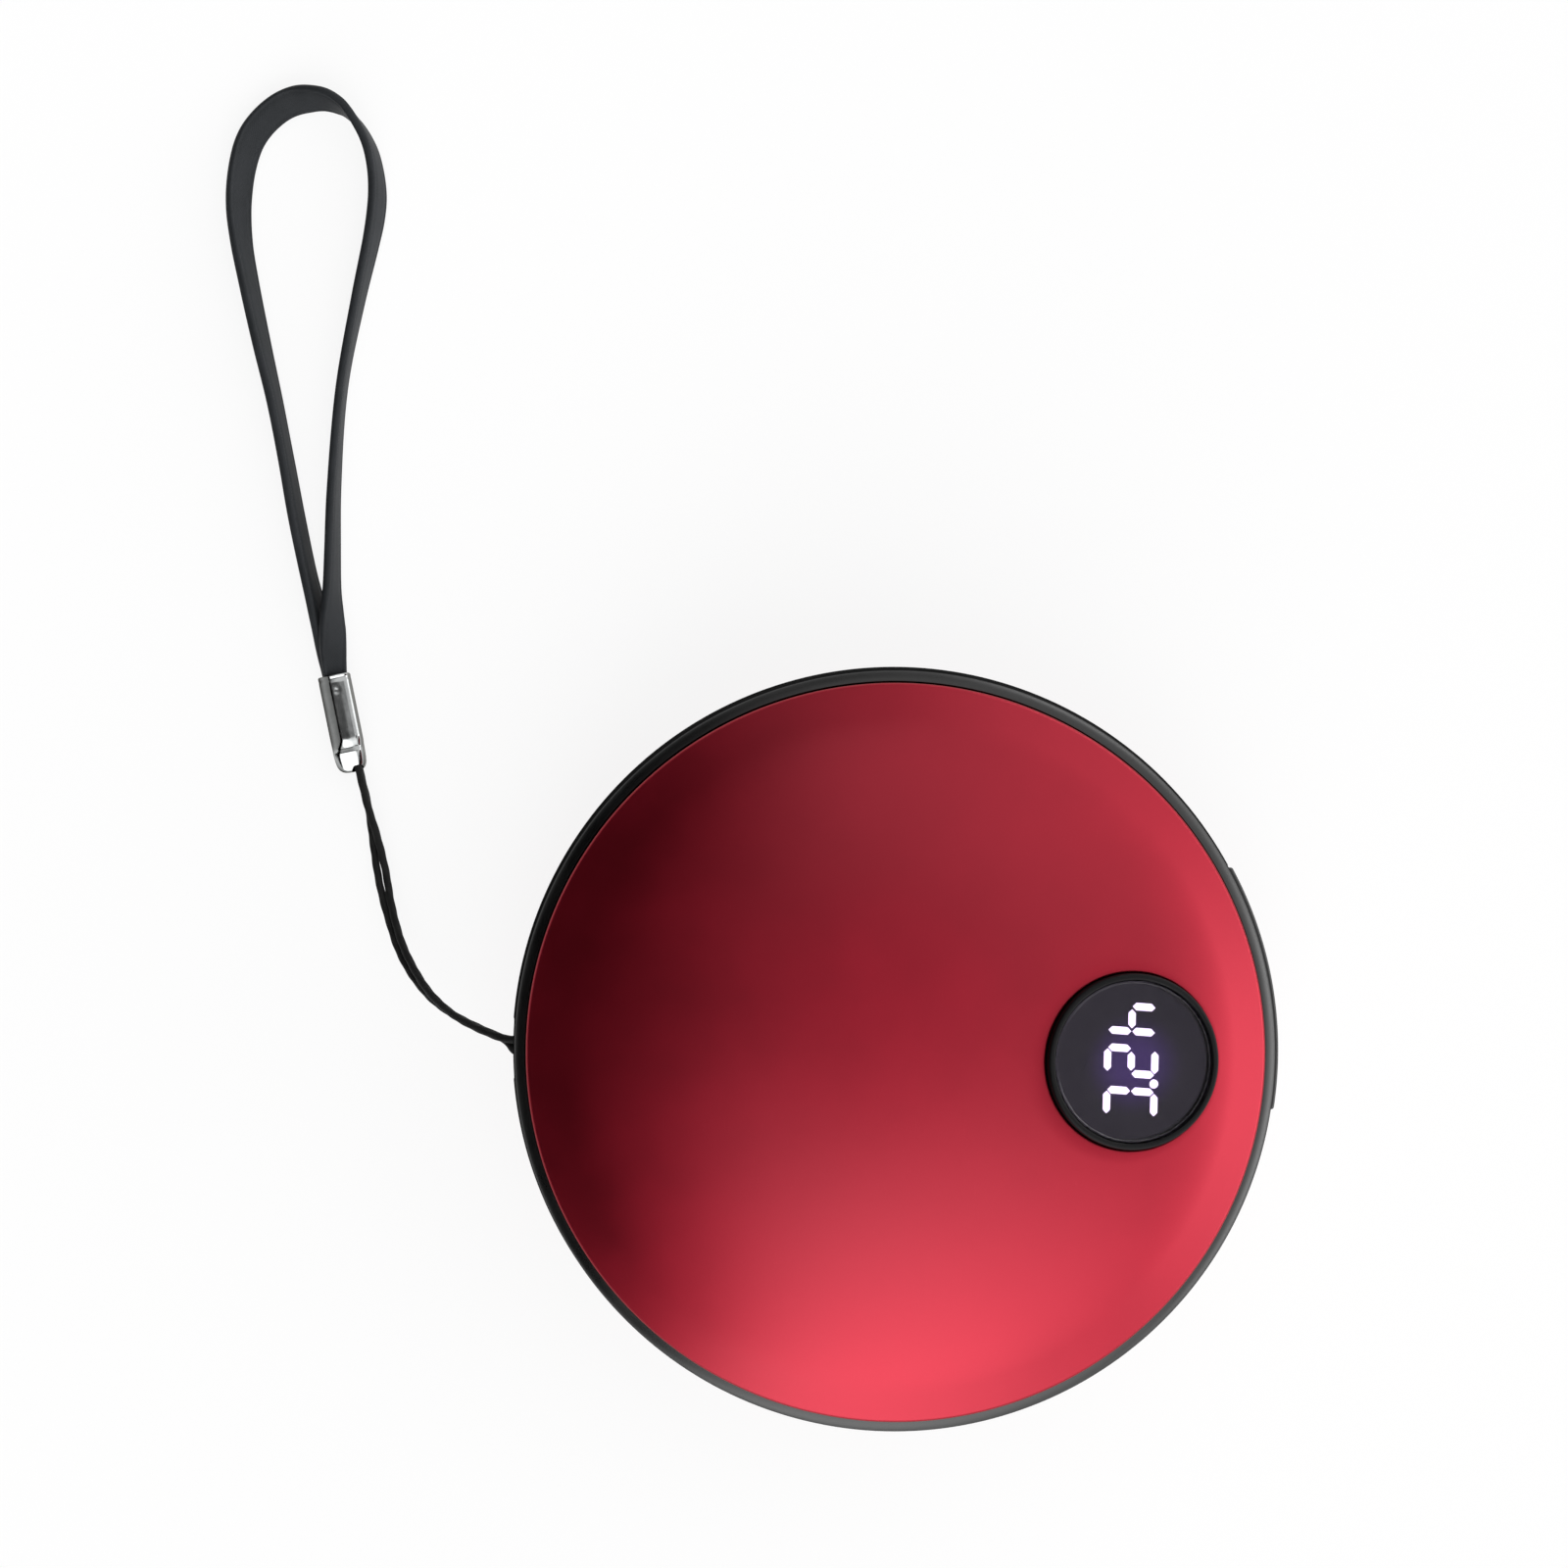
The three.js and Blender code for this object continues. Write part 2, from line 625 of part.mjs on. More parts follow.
function rearRim() {
  const seam = rimMiddle - SEAM / 2;
  const bossBottom = chassisTop + FIT;
  const lugBottom = rimMiddle - pinLength / 2 - FIT - LUG_WALL;
  const bosses = RIM_SCREW_BEARINGS.flatMap((bearing) => {
    return boss(bearing, [bossBottom, seam], [rimBottom, seam]);
  });
  const profile = rimProfile().map(([radius, z]) => [radius, 2 * rimMiddle - z]).reverse();
  const ring = turned(profile, BODY_FACETS);
  return shaped(ring, [...bosses, lug([lugBottom, seam])], [...sideCuts(), ...screwHoles([0, screwTop])]);
}

part('front_rim', blackPlastic, frontRim());
part('rear_rim', blackPlastic, rearRim());

// Port panel and the sockets that stand behind it
const usbMiddle = rimMiddle;
const chargeMiddle = boardTop + FIT + CHARGE_PORT.height / 2;

function mouthCut(port, middle, corner) {
  const [width, height] = [port.width - 2 * port.wall, port.height - 2 * port.wall];
  const reach = [panelInner - 2 * REACH_THROUGH, panelOuter + REACH_THROUGH];
  const cut = extruded(roundedRectangle(height, width, corner), reach);
  return cut.rotateY(Math.PI / 2).translate(0, port.across, middle).applyMatrix4(ports.matrix);
}

function portPanel() {
  const half = PANEL_HEIGHT / 2;
  const outline = ringSector(panelInner, panelOuter, PANEL_FROM, PANEL_TO);
  const plate = extruded(outline, [rimMiddle - half, rimMiddle + half], PANEL_STEPS);
  const usbMouth = mouthCut(USB_A, usbMiddle, USB_A.corner - USB_A.wall);
  const chargeMouth = mouthCut(CHARGE_PORT, chargeMiddle, CHARGE_PORT.corner);
  return shaped(plate, [], [usbMouth, chargeMouth]);
}

function socketShell(port, middle) {
  const mouth = mouthOf(port);
  const back = mouth - port.depth;
  const outside = extruded(roundedRectangle(port.height, port.width, port.corner), [back, mouth]);
  const inside = extruded(
    roundedRectangle(port.height - 2 * port.wall, port.width - 2 * port.wall, port.corner - port.wall),
    [back + port.wall, mouth + REACH_THROUGH],
  );
  return shaped(outside, [], [inside]).rotateY(Math.PI / 2).translate(0, port.across, middle);
}

function socketTongue(port, tongue, middle) {
  const mouth = mouthOf(port);
  const back = mouth - port.depth + port.wall + FIT;
  const [halfWidth, halfHeight] = [port.width / 2 - port.wall - FIT, port.height / 2 - port.wall - FIT];
  const outline = roundedRectangle(2 * halfHeight, 2 * halfWidth, halfHeight);
  const base = extruded(outline, [back, back + tongue.block]);
  const blade = block(
    [-tongue.height / 2, tongue.height / 2],
    [-tongue.width / 2, tongue.width / 2],
    [back + tongue.block / 2, mouth - tongue.setback],
  );
  return shaped(base, [blade], []).rotateY(Math.PI / 2).translate(0, port.across, middle);
}

part('port_panel', blackPlastic, portPanel());
part('usb_a_shell', steel, socketShell(USB_A, usbMiddle), ports);
part('usb_a_tongue', whiteInsulation, socketTongue(USB_A, USB_A_TONGUE, usbMiddle), ports);
part('charge_port_shell', steel, socketShell(CHARGE_PORT, chargeMiddle), ports);
part('charge_port_tongue', blackChip, socketTongue(CHARGE_PORT, CHARGE_TONGUE, chargeMiddle), ports);

// Power button: a pill-shaped cap with a flange behind the rim, pressed in along +Y on to the switch
const flangeHalfWidth = BUTTON_WIDTH / 2 + BUTTON_FLANGE;
const rimFlat = rimInner * Math.cos(Math.PI / BODY_FACETS);
const flangeFront = FIT - Math.sqrt(rimFlat ** 2 - flangeHalfWidth ** 2);
const flangeBack = flangeFront + BUTTON_FLANGE_THICKNESS;
const plungerTip = flangeBack + FIT;
const switchFront = plungerTip + PLUNGER_REACH;

function powerButton() {
  const cap = pillBar(BUTTON_WIDTH, BUTTON_HEIGHT, [-BODY_RADIUS - BUTTON_PROUD, flangeBack], rimMiddle);
  const flange = pillBar(
    BUTTON_WIDTH + 2 * BUTTON_FLANGE,
    BUTTON_HEIGHT + 2 * BUTTON_FLANGE,
    [flangeFront, flangeBack],
    rimMiddle,
  );
  return shaped(cap, [flange], []);
}

function barAlongY(radius, y, z) {
  return post(radius, [0, y[1] - y[0]]).rotateX(Math.PI / 2).translate(0, y[1], z);
}

function switchBody() {
  const body = block(
    [-SWITCH_WIDTH / 2, SWITCH_WIDTH / 2],
    [switchFront, switchFront + SWITCH_DEPTH],
    [boardTop + FIT, rimMiddle + SWITCH_HEAD],
  );
  const boreEnd = plungerTip + PLUNGER_LENGTH + BUTTON_TRAVEL + FIT;
  return shaped(body, [], [barAlongY(PLUNGER_RADIUS + FIT, [plungerTip, boreEnd], rimMiddle)]);
}

part('power_button', blackPlastic, powerButton());
part('switch_body', blackChip, switchBody());
part(
  'switch_plunger',
  greyPlastic,
  barAlongY(PLUNGER_RADIUS, [plungerTip, plungerTip + PLUNGER_LENGTH], rimMiddle),
);

// Temperature window, in the display group's own frame
const lensTop = BEZEL_PROUD - LENS_RECESS;
const lensBottom = lensTop - LENS_THICKNESS;
const seatTop = lensBottom - FIT;
const seatRadius = LENS_RADIUS - LENS_SEAT;
const maskRadius = seatRadius - FIT;
const maskTop = lensBottom - FIT;
const maskBottom = maskTop - MASK_THICKNESS;
const guideTop = maskBottom - FIT;
const guideBottom = guideTop - LIGHT_GUIDE_THICKNESS;
const bezelBottom = Math.min(-BEZEL_DEPTH, guideBottom);
const barrelRadius = LENS_RADIUS + FIT / 2;
const flangeRadius = BEZEL_RADIUS + BEZEL_FLANGE;

function displayBezel() {
  const flangeTop = bezelBottom + BEZEL_FLANGE_THICKNESS;
  const profile = [
    [seatRadius, bezelBottom],
    [flangeRadius, bezelBottom],
    [flangeRadius, flangeTop],
    [BEZEL_RADIUS, flangeTop],
    [BEZEL_RADIUS, BEZEL_PROUD - BEZEL_EDGE],
    [BEZEL_RADIUS - BEZEL_EDGE, BEZEL_PROUD],
    [barrelRadius, BEZEL_PROUD],
    [barrelRadius, seatTop],
    [seatRadius, seatTop],
    [seatRadius, bezelBottom],
  ];
  return turned(profile, DISPLAY_FACETS);
}

function displayLens() {
  const profile = [
    [0, lensBottom],
    [LENS_RADIUS, lensBottom],
    [LENS_RADIUS, lensTop - LENS_BEVEL],
    [LENS_RADIUS - LENS_BEVEL, lensTop],
    [0, lensTop],
  ];
  return turned(profile, DISPLAY_FACETS);
}

// Lit bars of one figure. Its top points along +X and it reads along -Y.
const digitRise = (DIGIT_HEIGHT - SEGMENT_WIDTH) / 2;
const figureBars = (letters, middle, play) => {
  const half = SEGMENT_WIDTH / 2 + play;
  const flat = (rise) => [[rise - half, rise + half], [-1, 1].map((s) => middle + s * (flatHalf + play))];
  const flatHalf = DIGIT_SPREAD / 2 - SEGMENT_WIDTH / 2 - SEGMENT_GAP;
  const upright = (side, from, to) => {
    const ends = [from + SEGMENT_GAP - play, to - SEGMENT_GAP + play];
    return [ends, [middle + side - half, middle + side + half]];
  };
  const [left, right] = [DIGIT_SPREAD / 2, -DIGIT_SPREAD / 2];
  const bars = {
    a: flat(digitRise),
    b: upright(right, 0, digitRise),
    c: upright(right, -digitRise, 0),
    d: flat(-digitRise),
    e: upright(left, -digitRise, 0),
    f: upright(left, 0, digitRise),
    g: flat(0),
  };
  return [...letters].map((letter) => bars[letter]);
};

function readout(z, play) {
  const dotHalf = DEGREE_DOT / 2 + play;
  const dot = [
    [digitRise - dotHalf, digitRise + dotHalf],
    [-DIGIT_PITCH / 2 - dotHalf, -DIGIT_PITCH / 2 + dotHalf],
  ];
  const bars = [
    ...figureBars('fgbc', DIGIT_PITCH, play),
    ...figureBars('abged', 0, play),
    ...figureBars('afed', -DIGIT_PITCH, play),
    dot,
  ];
  return bars.map(([x, y]) => block(x, y, z));
}

function displayMask() {
  const face = post(maskRadius, [maskBottom, maskTop], 0, 0, DISPLAY_FACETS);
  return shaped(face, [], readout([maskBottom - FIT, maskTop + FIT], WINDOW_CLEARANCE));
}

function displaySegments() {
  const guide = post(maskRadius, [guideBottom, guideTop], 0, 0, DISPLAY_FACETS);
  return shaped(guide, readout([guideTop - LIGHT_GUIDE_THICKNESS / 2, maskTop], 0), []);
}

const displayBoardTop = bezelBottom - FIT;
const displayBoardBottom = displayBoardTop - DISPLAY_BOARD_THICKNESS;

part('display_bezel', blackPlastic, displayBezel(), display);
part('display_lens', smokedLens, displayLens(), display);
part('display_mask', blackChip, displayMask(), display);
part('display_segments', litWhite, displaySegments(), display);
part(
  'display_board',
  greenBoard,
  post(BEZEL_RADIUS, [displayBoardBottom, displayBoardTop], 0, 0, DISPLAY_FACETS),
  display,
);

// Main board: part of a ring round the battery, notched for the rim's bosses
function mainBoard() {
  const plate = extruded(
    ringSector(boardInnerRadius, boardOuterRadius, BOARD_FROM, BOARD_TO),
    [boardBottom, boardTop],
    10,
  );
  const cutZ = [boardBottom - REACH_THROUGH, boardTop + REACH_THROUGH];
  const notches = RIM_SCREW_BEARINGS.flatMap((bearing) => {
    const slot = block([screwCircle, BODY_RADIUS], [-bossRadius - FIT, bossRadius + FIT], cutZ);
    return [post(bossRadius + FIT, cutZ, ...polar(screwCircle, bearing)), slot.rotateZ(radians(bearing))];
  });
  const holes = boardScrewPlaces.map(({ bearing, distance }) => {
    return post(BOARD_SCREW_RADIUS + FIT, cutZ, ...polar(distance, bearing));
  });
  return shaped(plate, [], [...notches, ...holes]);
}

function placedOnBoard(geometry, bearing, distance) {
  return geometry.rotateZ(radians(bearing)).translate(...polar(distance, bearing), boardTop + FIT);
}

function inductor() {
  const half = INDUCTOR_SIZE / 2;
  const outline = new THREE.Shape();
  outline.moveTo(-half, INDUCTOR_CHAMFER - half);
  outline.lineTo(INDUCTOR_CHAMFER - half, -half);
  outline.lineTo(half - INDUCTOR_CHAMFER, -half);
  outline.lineTo(half, INDUCTOR_CHAMFER - half);
  outline.lineTo(half, half - INDUCTOR_CHAMFER);
  outline.lineTo(half - INDUCTOR_CHAMFER, half);
  outline.lineTo(INDUCTOR_CHAMFER - half, half);
  outline.lineTo(-half, half - INDUCTOR_CHAMFER);
  outline.closePath();
  return extruded(outline, [0, INDUCTOR_HEIGHT]);
}

const chipHalf = CHIP_SIZE / 2;
const chipBlock = block([-chipHalf, chipHalf], [-chipHalf, chipHalf], [0, CHIP_HEIGHT]);

part('main_board', greenBoard, mainBoard());
part('inductor', ferrite, placedOnBoard(inductor(), INDUCTOR_BEARING, boardMiddleRadius));
part('controller_chip', blackChip, placedOnBoard(chipBlock, CHIP_BEARING, boardInnerRadius + CHIP_INSET));

// Chassis: a plate with a cradle for the battery and standoffs for the board
const leadDistance = boardInnerRadius + LEAD_LANDING;

function cradleFrame(play, z) {
  const [halfLength, halfWidth] = [BATTERY_LENGTH / 2 + play, BATTERY_WIDTH / 2 + play];
  return block(
    [BATTERY_X - halfLength, BATTERY_X + halfLength],
    [BATTERY_Y - halfWidth, BATTERY_Y + halfWidth],
    z,
  );
}

function chassis() {
  const through = [chassisBottom - REACH_THROUGH, boardBottom];
  const plate = post(chassisRadius, [chassisBottom, chassisTop], 0, 0, BODY_FACETS);
  const cradle = cradleFrame(FIT + CRADLE_WALL, [chassisBottom, chassisTop + CRADLE_HEIGHT]);
  const well = cradleFrame(FIT, [chassisTop, chassisTop + CRADLE_HEIGHT + REACH_THROUGH]);
  const leadHole = post(LEAD_HOLE_RADIUS, through, ...polar(leadDistance, REAR_LEAD_BEARING));
  let body = solid(plate).add(solid(cradle).subtract(solid(well)));
  for (const { bearing, distance } of boardScrewPlaces) {
    const [x, y] = polar(distance, bearing);
    body = body.add(solid(post(STANDOFF_RADIUS, [chassisBottom, boardBottom - FIT], x, y)));
    body = body.subtract(solid(post(BOARD_SCREW_RADIUS + FIT, through, x, y)));
  }
  for (const hole of [leadHole, ...screwHoles(through)]) {
    body = body.subtract(solid(hole));
  }
  return geometryOf(body);
}

function batteryCell() {
  const [length, width] = [BATTERY_LENGTH - 2 * BATTERY_EDGE, BATTERY_WIDTH - 2 * BATTERY_EDGE];
  const options = {
    depth: BATTERY_THICKNESS - 2 * BATTERY_EDGE,
    bevelEnabled: true,
    bevelThickness: BATTERY_EDGE,
    bevelSize: BATTERY_EDGE,
    bevelSegments: 2,
    curveSegments: 2,
  };
  const outline = roundedRectangle(length, width, BATTERY_CORNER - BATTERY_EDGE);
  const cell = new THREE.ExtrudeGeometry(outline, options);
  return cell.translate(BATTERY_X, BATTERY_Y, batteryBottom + BATTERY_EDGE);
}

part('chassis', greyPlastic, chassis());
part('battery_cell', silverFoil, batteryCell());
part(
  'battery_pad',
  paleFoam,
  cradleFrame(-BATTERY_PAD_INSET, [chassisTop + FIT, chassisTop + FIT + BATTERY_PAD_THICKNESS]),
);

// Film heaters that follow the inside of each dome, and a sensor bead on each
function heaterFilm(outside, inside) {
  const radii = Array.from({ length: FILM_STEPS + 1 }, (_, i) => (heaterRadius * i) / FILM_STEPS);
  return turned([...radii.map(inside), ...radii.reverse().map(outside)], FILM_FACETS);
}

const frontFilmFace = (radius) => frontCeiling(radius) - FIT - HEATER_THICKNESS;
const rearFilmFace = (radius) => rearFloor(radius) + FIT + HEATER_THICKNESS;

function frontHeater() {
  const film = heaterFilm(
    (radius) => [radius, frontCeiling(radius) - FIT],
    (radius) => [radius, frontFilmFace(radius)],
  );
  return shaped(film, [], [displayBore(flangeRadius + HEATER_DISPLAY_GAP)]);
}

function rearHeater() {
  return heaterFilm(
    (radius) => [radius, rearFilmFace(radius)],
    (radius) => [radius, rearFloor(radius) + FIT],
  );
}

function thermistor(z) {
  const bead = new THREE.CapsuleGeometry(THERMISTOR_RADIUS, THERMISTOR_LENGTH, 3, 8);
  bead.rotateZ(radians(THERMISTOR_BEARING));
  return bead.translate(...polar(THERMISTOR_DISTANCE, THERMISTOR_BEARING), z);
}

const beadReach = THERMISTOR_DISTANCE + THERMISTOR_RADIUS;
part('front_heater', amberFilm, frontHeater());
part('rear_heater', amberFilm, rearHeater());
part('front_thermistor', blackChip, thermistor(frontFilmFace(beadReach) - FIT - THERMISTOR_RADIUS));
part('rear_thermistor', blackChip, thermistor(rearFilmFace(beadReach) + FIT + THERMISTOR_RADIUS));

// Screws: a pan head and a plain shank, pointing up or down
function screw(radius, length, headRadius, headHeight) {
  const profile = [
    [0, -headHeight],
    [headRadius * 0.8, -headHeight],
    [headRadius, -headHeight / 2],
    [headRadius, 0],
    [radius, 0],
    [radius, length - radius],
    [0, length],
  ];
  return turned(profile, PIN_FACETS);
}

RIM_SCREW_BEARINGS.forEach((bearing, i) => {
  const fastener = part(
    `rim_screw_${i + 1}`,
    steel,
    screw(SCREW_RADIUS, SCREW_LENGTH, SCREW_HEAD_RADIUS, SCREW_HEAD_HEIGHT),
  );
  fastener.position.set(...polar(screwCircle, bearing), screwHeadTop);
});

boardScrewPlaces.forEach(({ bearing, distance }, i) => {
  const length = FIT + BOARD_THICKNESS + FIT + BOARD_SCREW_BITE;
  const fastener = part(
    `board_screw_${i + 1}`,
    steel,
    screw(BOARD_SCREW_RADIUS, length, BOARD_SCREW_HEAD_RADIUS, BOARD_SCREW_HEAD_HEIGHT).rotateX(Math.PI),
  );
  fastener.position.set(...polar(distance, bearing), boardTop + FIT);
});

// Leads inside the body
function batteryLead(bearing, side) {
  const [x, y] = polar(leadDistance, bearing);
  const tabY = BATTERY_Y + BATTERY_WIDTH / 4 + side * BATTERY_LEAD_SPACING;
  const start = [BATTERY_X + BATTERY_LENGTH / 2 + FIT, tabY];
  const height = batteryBottom + BATTERY_THICKNESS / 2;
  const landing = boardTop + FIT;
  const route = [
    [...start, height],
    [start[0] + (x - start[0]) * 0.35, start[1] + (y - start[1]) * 0.2, height + LEAD_BOW / 2],
    [start[0] + (x - start[0]) * 0.8, start[1] + (y - start[1]) * 0.75, height],
    [x, y, (height + landing) / 2],
    [x, y, landing],
  ];
  return tube(route, LEAD_RADIUS, 10);
}

function heaterLead(bearing, from, to) {
  const [x, y] = polar(leadDistance, bearing);
  const [bowX, bowY] = polar(leadDistance - LEAD_BOW, bearing);
  const middle = (from + to) / 2;
  const straight = (to - from) / 6;
  const lower = [[x, y, from], [x, y, from + straight]];
  const upper = [[x, y, to - straight], [x, y, to]];
  const route = [...lower, [bowX, bowY, middle], ...upper];
  return tube(route, LEAD_RADIUS, 10);
}

const leadReach = leadDistance + LEAD_RADIUS;
part('battery_lead_positive', redInsulation, batteryLead(BATTERY_LEAD_BEARINGS.positive, -1));
part('battery_lead_negative', blackInsulation, batteryLead(BATTERY_LEAD_BEARINGS.negative, 0));
part(
  'front_heater_lead',
  whiteInsulation,
  heaterLead(FRONT_LEAD_BEARING, boardTop + FIT, frontFilmFace(leadReach) - FIT),
);
part(
  'rear_heater_lead',
  whiteInsulation,
  heaterLead(REAR_LEAD_BEARING, rearFilmFace(leadReach) + FIT, boardBottom - FIT),
);

// Flat cable from the window's board down to the main board
function displayCable() {
  const backHeight = display.position.z + displayBoardBottom / Math.cos(displayTilt);
  const topEdge = backHeight + (CABLE_INSET - CABLE_THICKNESS) * Math.tan(displayTilt) - FIT;
  const bottomEdge = boardTop + FIT;
  const middle = (topEdge + bottomEdge) / 2;
  const outline = new THREE.Shape();
  outline.moveTo(0, bottomEdge);
  outline.quadraticCurveTo(CABLE_BOW, middle, 0, topEdge);
  outline.lineTo(-CABLE_THICKNESS, topEdge);
  outline.quadraticCurveTo(CABLE_BOW - CABLE_THICKNESS, middle, -CABLE_THICKNESS, bottomEdge);
  outline.closePath();
  const strip = extruded(outline, [0, CABLE_WIDTH], 6).rotateX(Math.PI / 2);
  const [x, y] = [display.position.x - CABLE_INSET, display.position.y - CABLE_OFFSET];
  return strip.translate(x, y + CABLE_WIDTH / 2, 0);
}

part('display_cable', amberFilm, displayCable());

// Lanyard: a pin across the rim's pocket, and a cord hitched round it. Its group starts at the rim's side.
const lanyard = new THREE.Group();
lanyard.position.x = rimSide;
handWarmer.add(lanyard);

part('lanyard_pin', steel, post(PIN_RADIUS, [rimMiddle - pinLength / 2, rimMiddle + pinLength / 2], pinX));

// One strand of the pair, above the route's middle line with side 1 and below it with side -1
function strand(side) {
  const places = CORD_ROUTE.map(([x, y, share]) => {
    return new THREE.Vector3(x, y, THREE.MathUtils.lerp(crimpMiddle, rimMiddle, share));
  });
  const path = new THREE.CatmullRomCurve3(places);
  return CORD_ROUTE.map(([, , , turn], i) => {
    const tangent = path.getTangent(i / (CORD_ROUTE.length - 1));
    const across = new THREE.Vector3(-tangent.y, tangent.x, 0).normalize();
    const up = new THREE.Vector3().crossVectors(tangent, across);
    const offset = across.multiplyScalar(-Math.cos(radians(turn)));
    offset.addScaledVector(up, Math.sin(radians(turn)));
    return places[i].clone().addScaledVector(offset, side * PAIR_SPREAD).toArray();
  });
}

// The hitch: in over the pin's +Y side, round behind it and out lower down on its -Y side
function hitch() {
  const turns = [115, 80, 40, 0, -40, -80, -120];
  return turns.map((turn, i) => {
    const drop = PAIR_SPREAD * (1 - (2 * i) / (turns.length - 1));
    const [x, y] = polar(wrapRadius, turn);
    return [PIN_DEPTH + x, y, rimMiddle + drop];
  });
}

function lanyardCord() {
  const inRim = ([x, y, rise]) => [x, y, rimMiddle + rise];
  const pinTurn = [...CORD_INWARD.map(inRim), ...hitch(), ...CORD_OUTWARD.map(inRim)];
  const route = [...strand(1).reverse(), ...pinTurn, ...strand(-1)];
  return tube(route, cordRadius, CORD_STEPS);
}

// Strap: a flat band on a closed loop that leans as it goes
function strapFrames() {
  const path = new THREE.CatmullRomCurve3(STRAP_ROUTE.map(([x, y, z]) => new THREE.Vector3(x, y, z)));
  const last = STRAP_ROUTE.length - 1;
  return Array.from({ length: STRAP_STEPS + 1 }, (_, i) => {
    const place = (i / STRAP_STEPS) * last;
    const before = Math.min(Math.floor(place), last - 1);
    const [leanBefore, leanAfter] = [STRAP_ROUTE[before][3], STRAP_ROUTE[before + 1][3]];
    const lean = radians(THREE.MathUtils.lerp(leanBefore, leanAfter, place - before));
    const tangent = path.getTangent(i / STRAP_STEPS);
    const inward = new THREE.Vector3(tangent.y, -tangent.x, 0).normalize();
    const above = new THREE.Vector3().crossVectors(inward, tangent);
    const up = above.multiplyScalar(Math.cos(lean)).addScaledVector(inward, Math.sin(lean));
    const side = new THREE.Vector3().crossVectors(up, tangent);
    return { origin: path.getPoint(i / STRAP_STEPS), side, up };
  });
}

function lanyardStrap() {
  const edge = STRAP_THICKNESS / 3;
  const frames = strapFrames();
  const taper = STRAP_STEPS / 12;
  return swept(frames, (ring) => {
    const fromEnd = Math.min(ring, frames.length - 1 - ring);
    const half = THREE.MathUtils.lerp(STRAP_END_WIDTH, STRAP_WIDTH, Math.min(1, fromEnd / taper)) / 2;
    const thick = STRAP_THICKNESS / 2;
    const flat = half - edge;
    return [[half, 0], [flat, thick], [-flat, thick], [-half, 0], [-flat, -thick], [flat, -thick]];
  });
}

// Crimp: a clamp with the strap's two ends in one mouth and the cord's two in the other
const crimp = new THREE.Group();
crimp.position.set(CRIMP_X, CRIMP_Y, CRIMP_LIFT);
crimp.rotation.z = radians(CRIMP_TURN);
lanyard.add(crimp);

function lanyardCrimp() {
  const middle = CRIMP_HEIGHT / 2;
  const outline = roundedRectangle(CRIMP_WIDTH, CRIMP_HEIGHT, CRIMP_CORNER);
  const sleeve = extruded(outline, [0, CRIMP_LENGTH], 3).rotateX(-Math.PI / 2).translate(0, 0, middle);
  const slotHalfWidth = STRAP_END_WIDTH / 2 + FIT;
  const slotHalfHeight = STRAP_THICKNESS + 1.5 * FIT;
  const slot = block(
    [-slotHalfWidth, slotHalfWidth],
    [CRIMP_LENGTH - CRIMP_SLOT_DEPTH, CRIMP_LENGTH + REACH_THROUGH],
    [middle - slotHalfHeight, middle + slotHalfHeight],
  );
  const socketHalfHeight = PAIR_SPREAD + cordRadius + CORD_FIT;
  const socket = block(
    [CRIMP_CORD_OFFSET - cordRadius - CORD_FIT, CRIMP_CORD_OFFSET + cordRadius + CORD_FIT],
    [-REACH_THROUGH, CRIMP_SOCKET_DEPTH],
    [middle - socketHalfHeight, middle + socketHalfHeight],
  );
  const dimple = new THREE.SphereGeometry(CRIMP_DIMPLE, 8, 6);
  dimple.translate(0, CRIMP_LENGTH - CRIMP_SLOT_DEPTH / 2, CRIMP_HEIGHT + CRIMP_DIMPLE / 2);
  return shaped(sleeve, [], [slot, socket, dimple]);
}

part('lanyard_cord', blackCord, lanyardCord(), lanyard);
part('lanyard_crimp', chrome, lanyardCrimp(), crimp);
part('lanyard_strap', darkStrap, lanyardStrap(), lanyard);

export default handWarmer;
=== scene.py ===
"""Looks of a round electric hand warmer with a wrist lanyard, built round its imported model.

Shapes are written in millimetres, with +Z up out of the front dome and +X towards the temperature window.
"""

from math import acos, asin, atan, atan2, copysign, cos, exp, hypot, pi, radians, sin, sqrt, tan
from types import SimpleNamespace

import bmesh
import bpy
from mathutils import Matrix, Vector


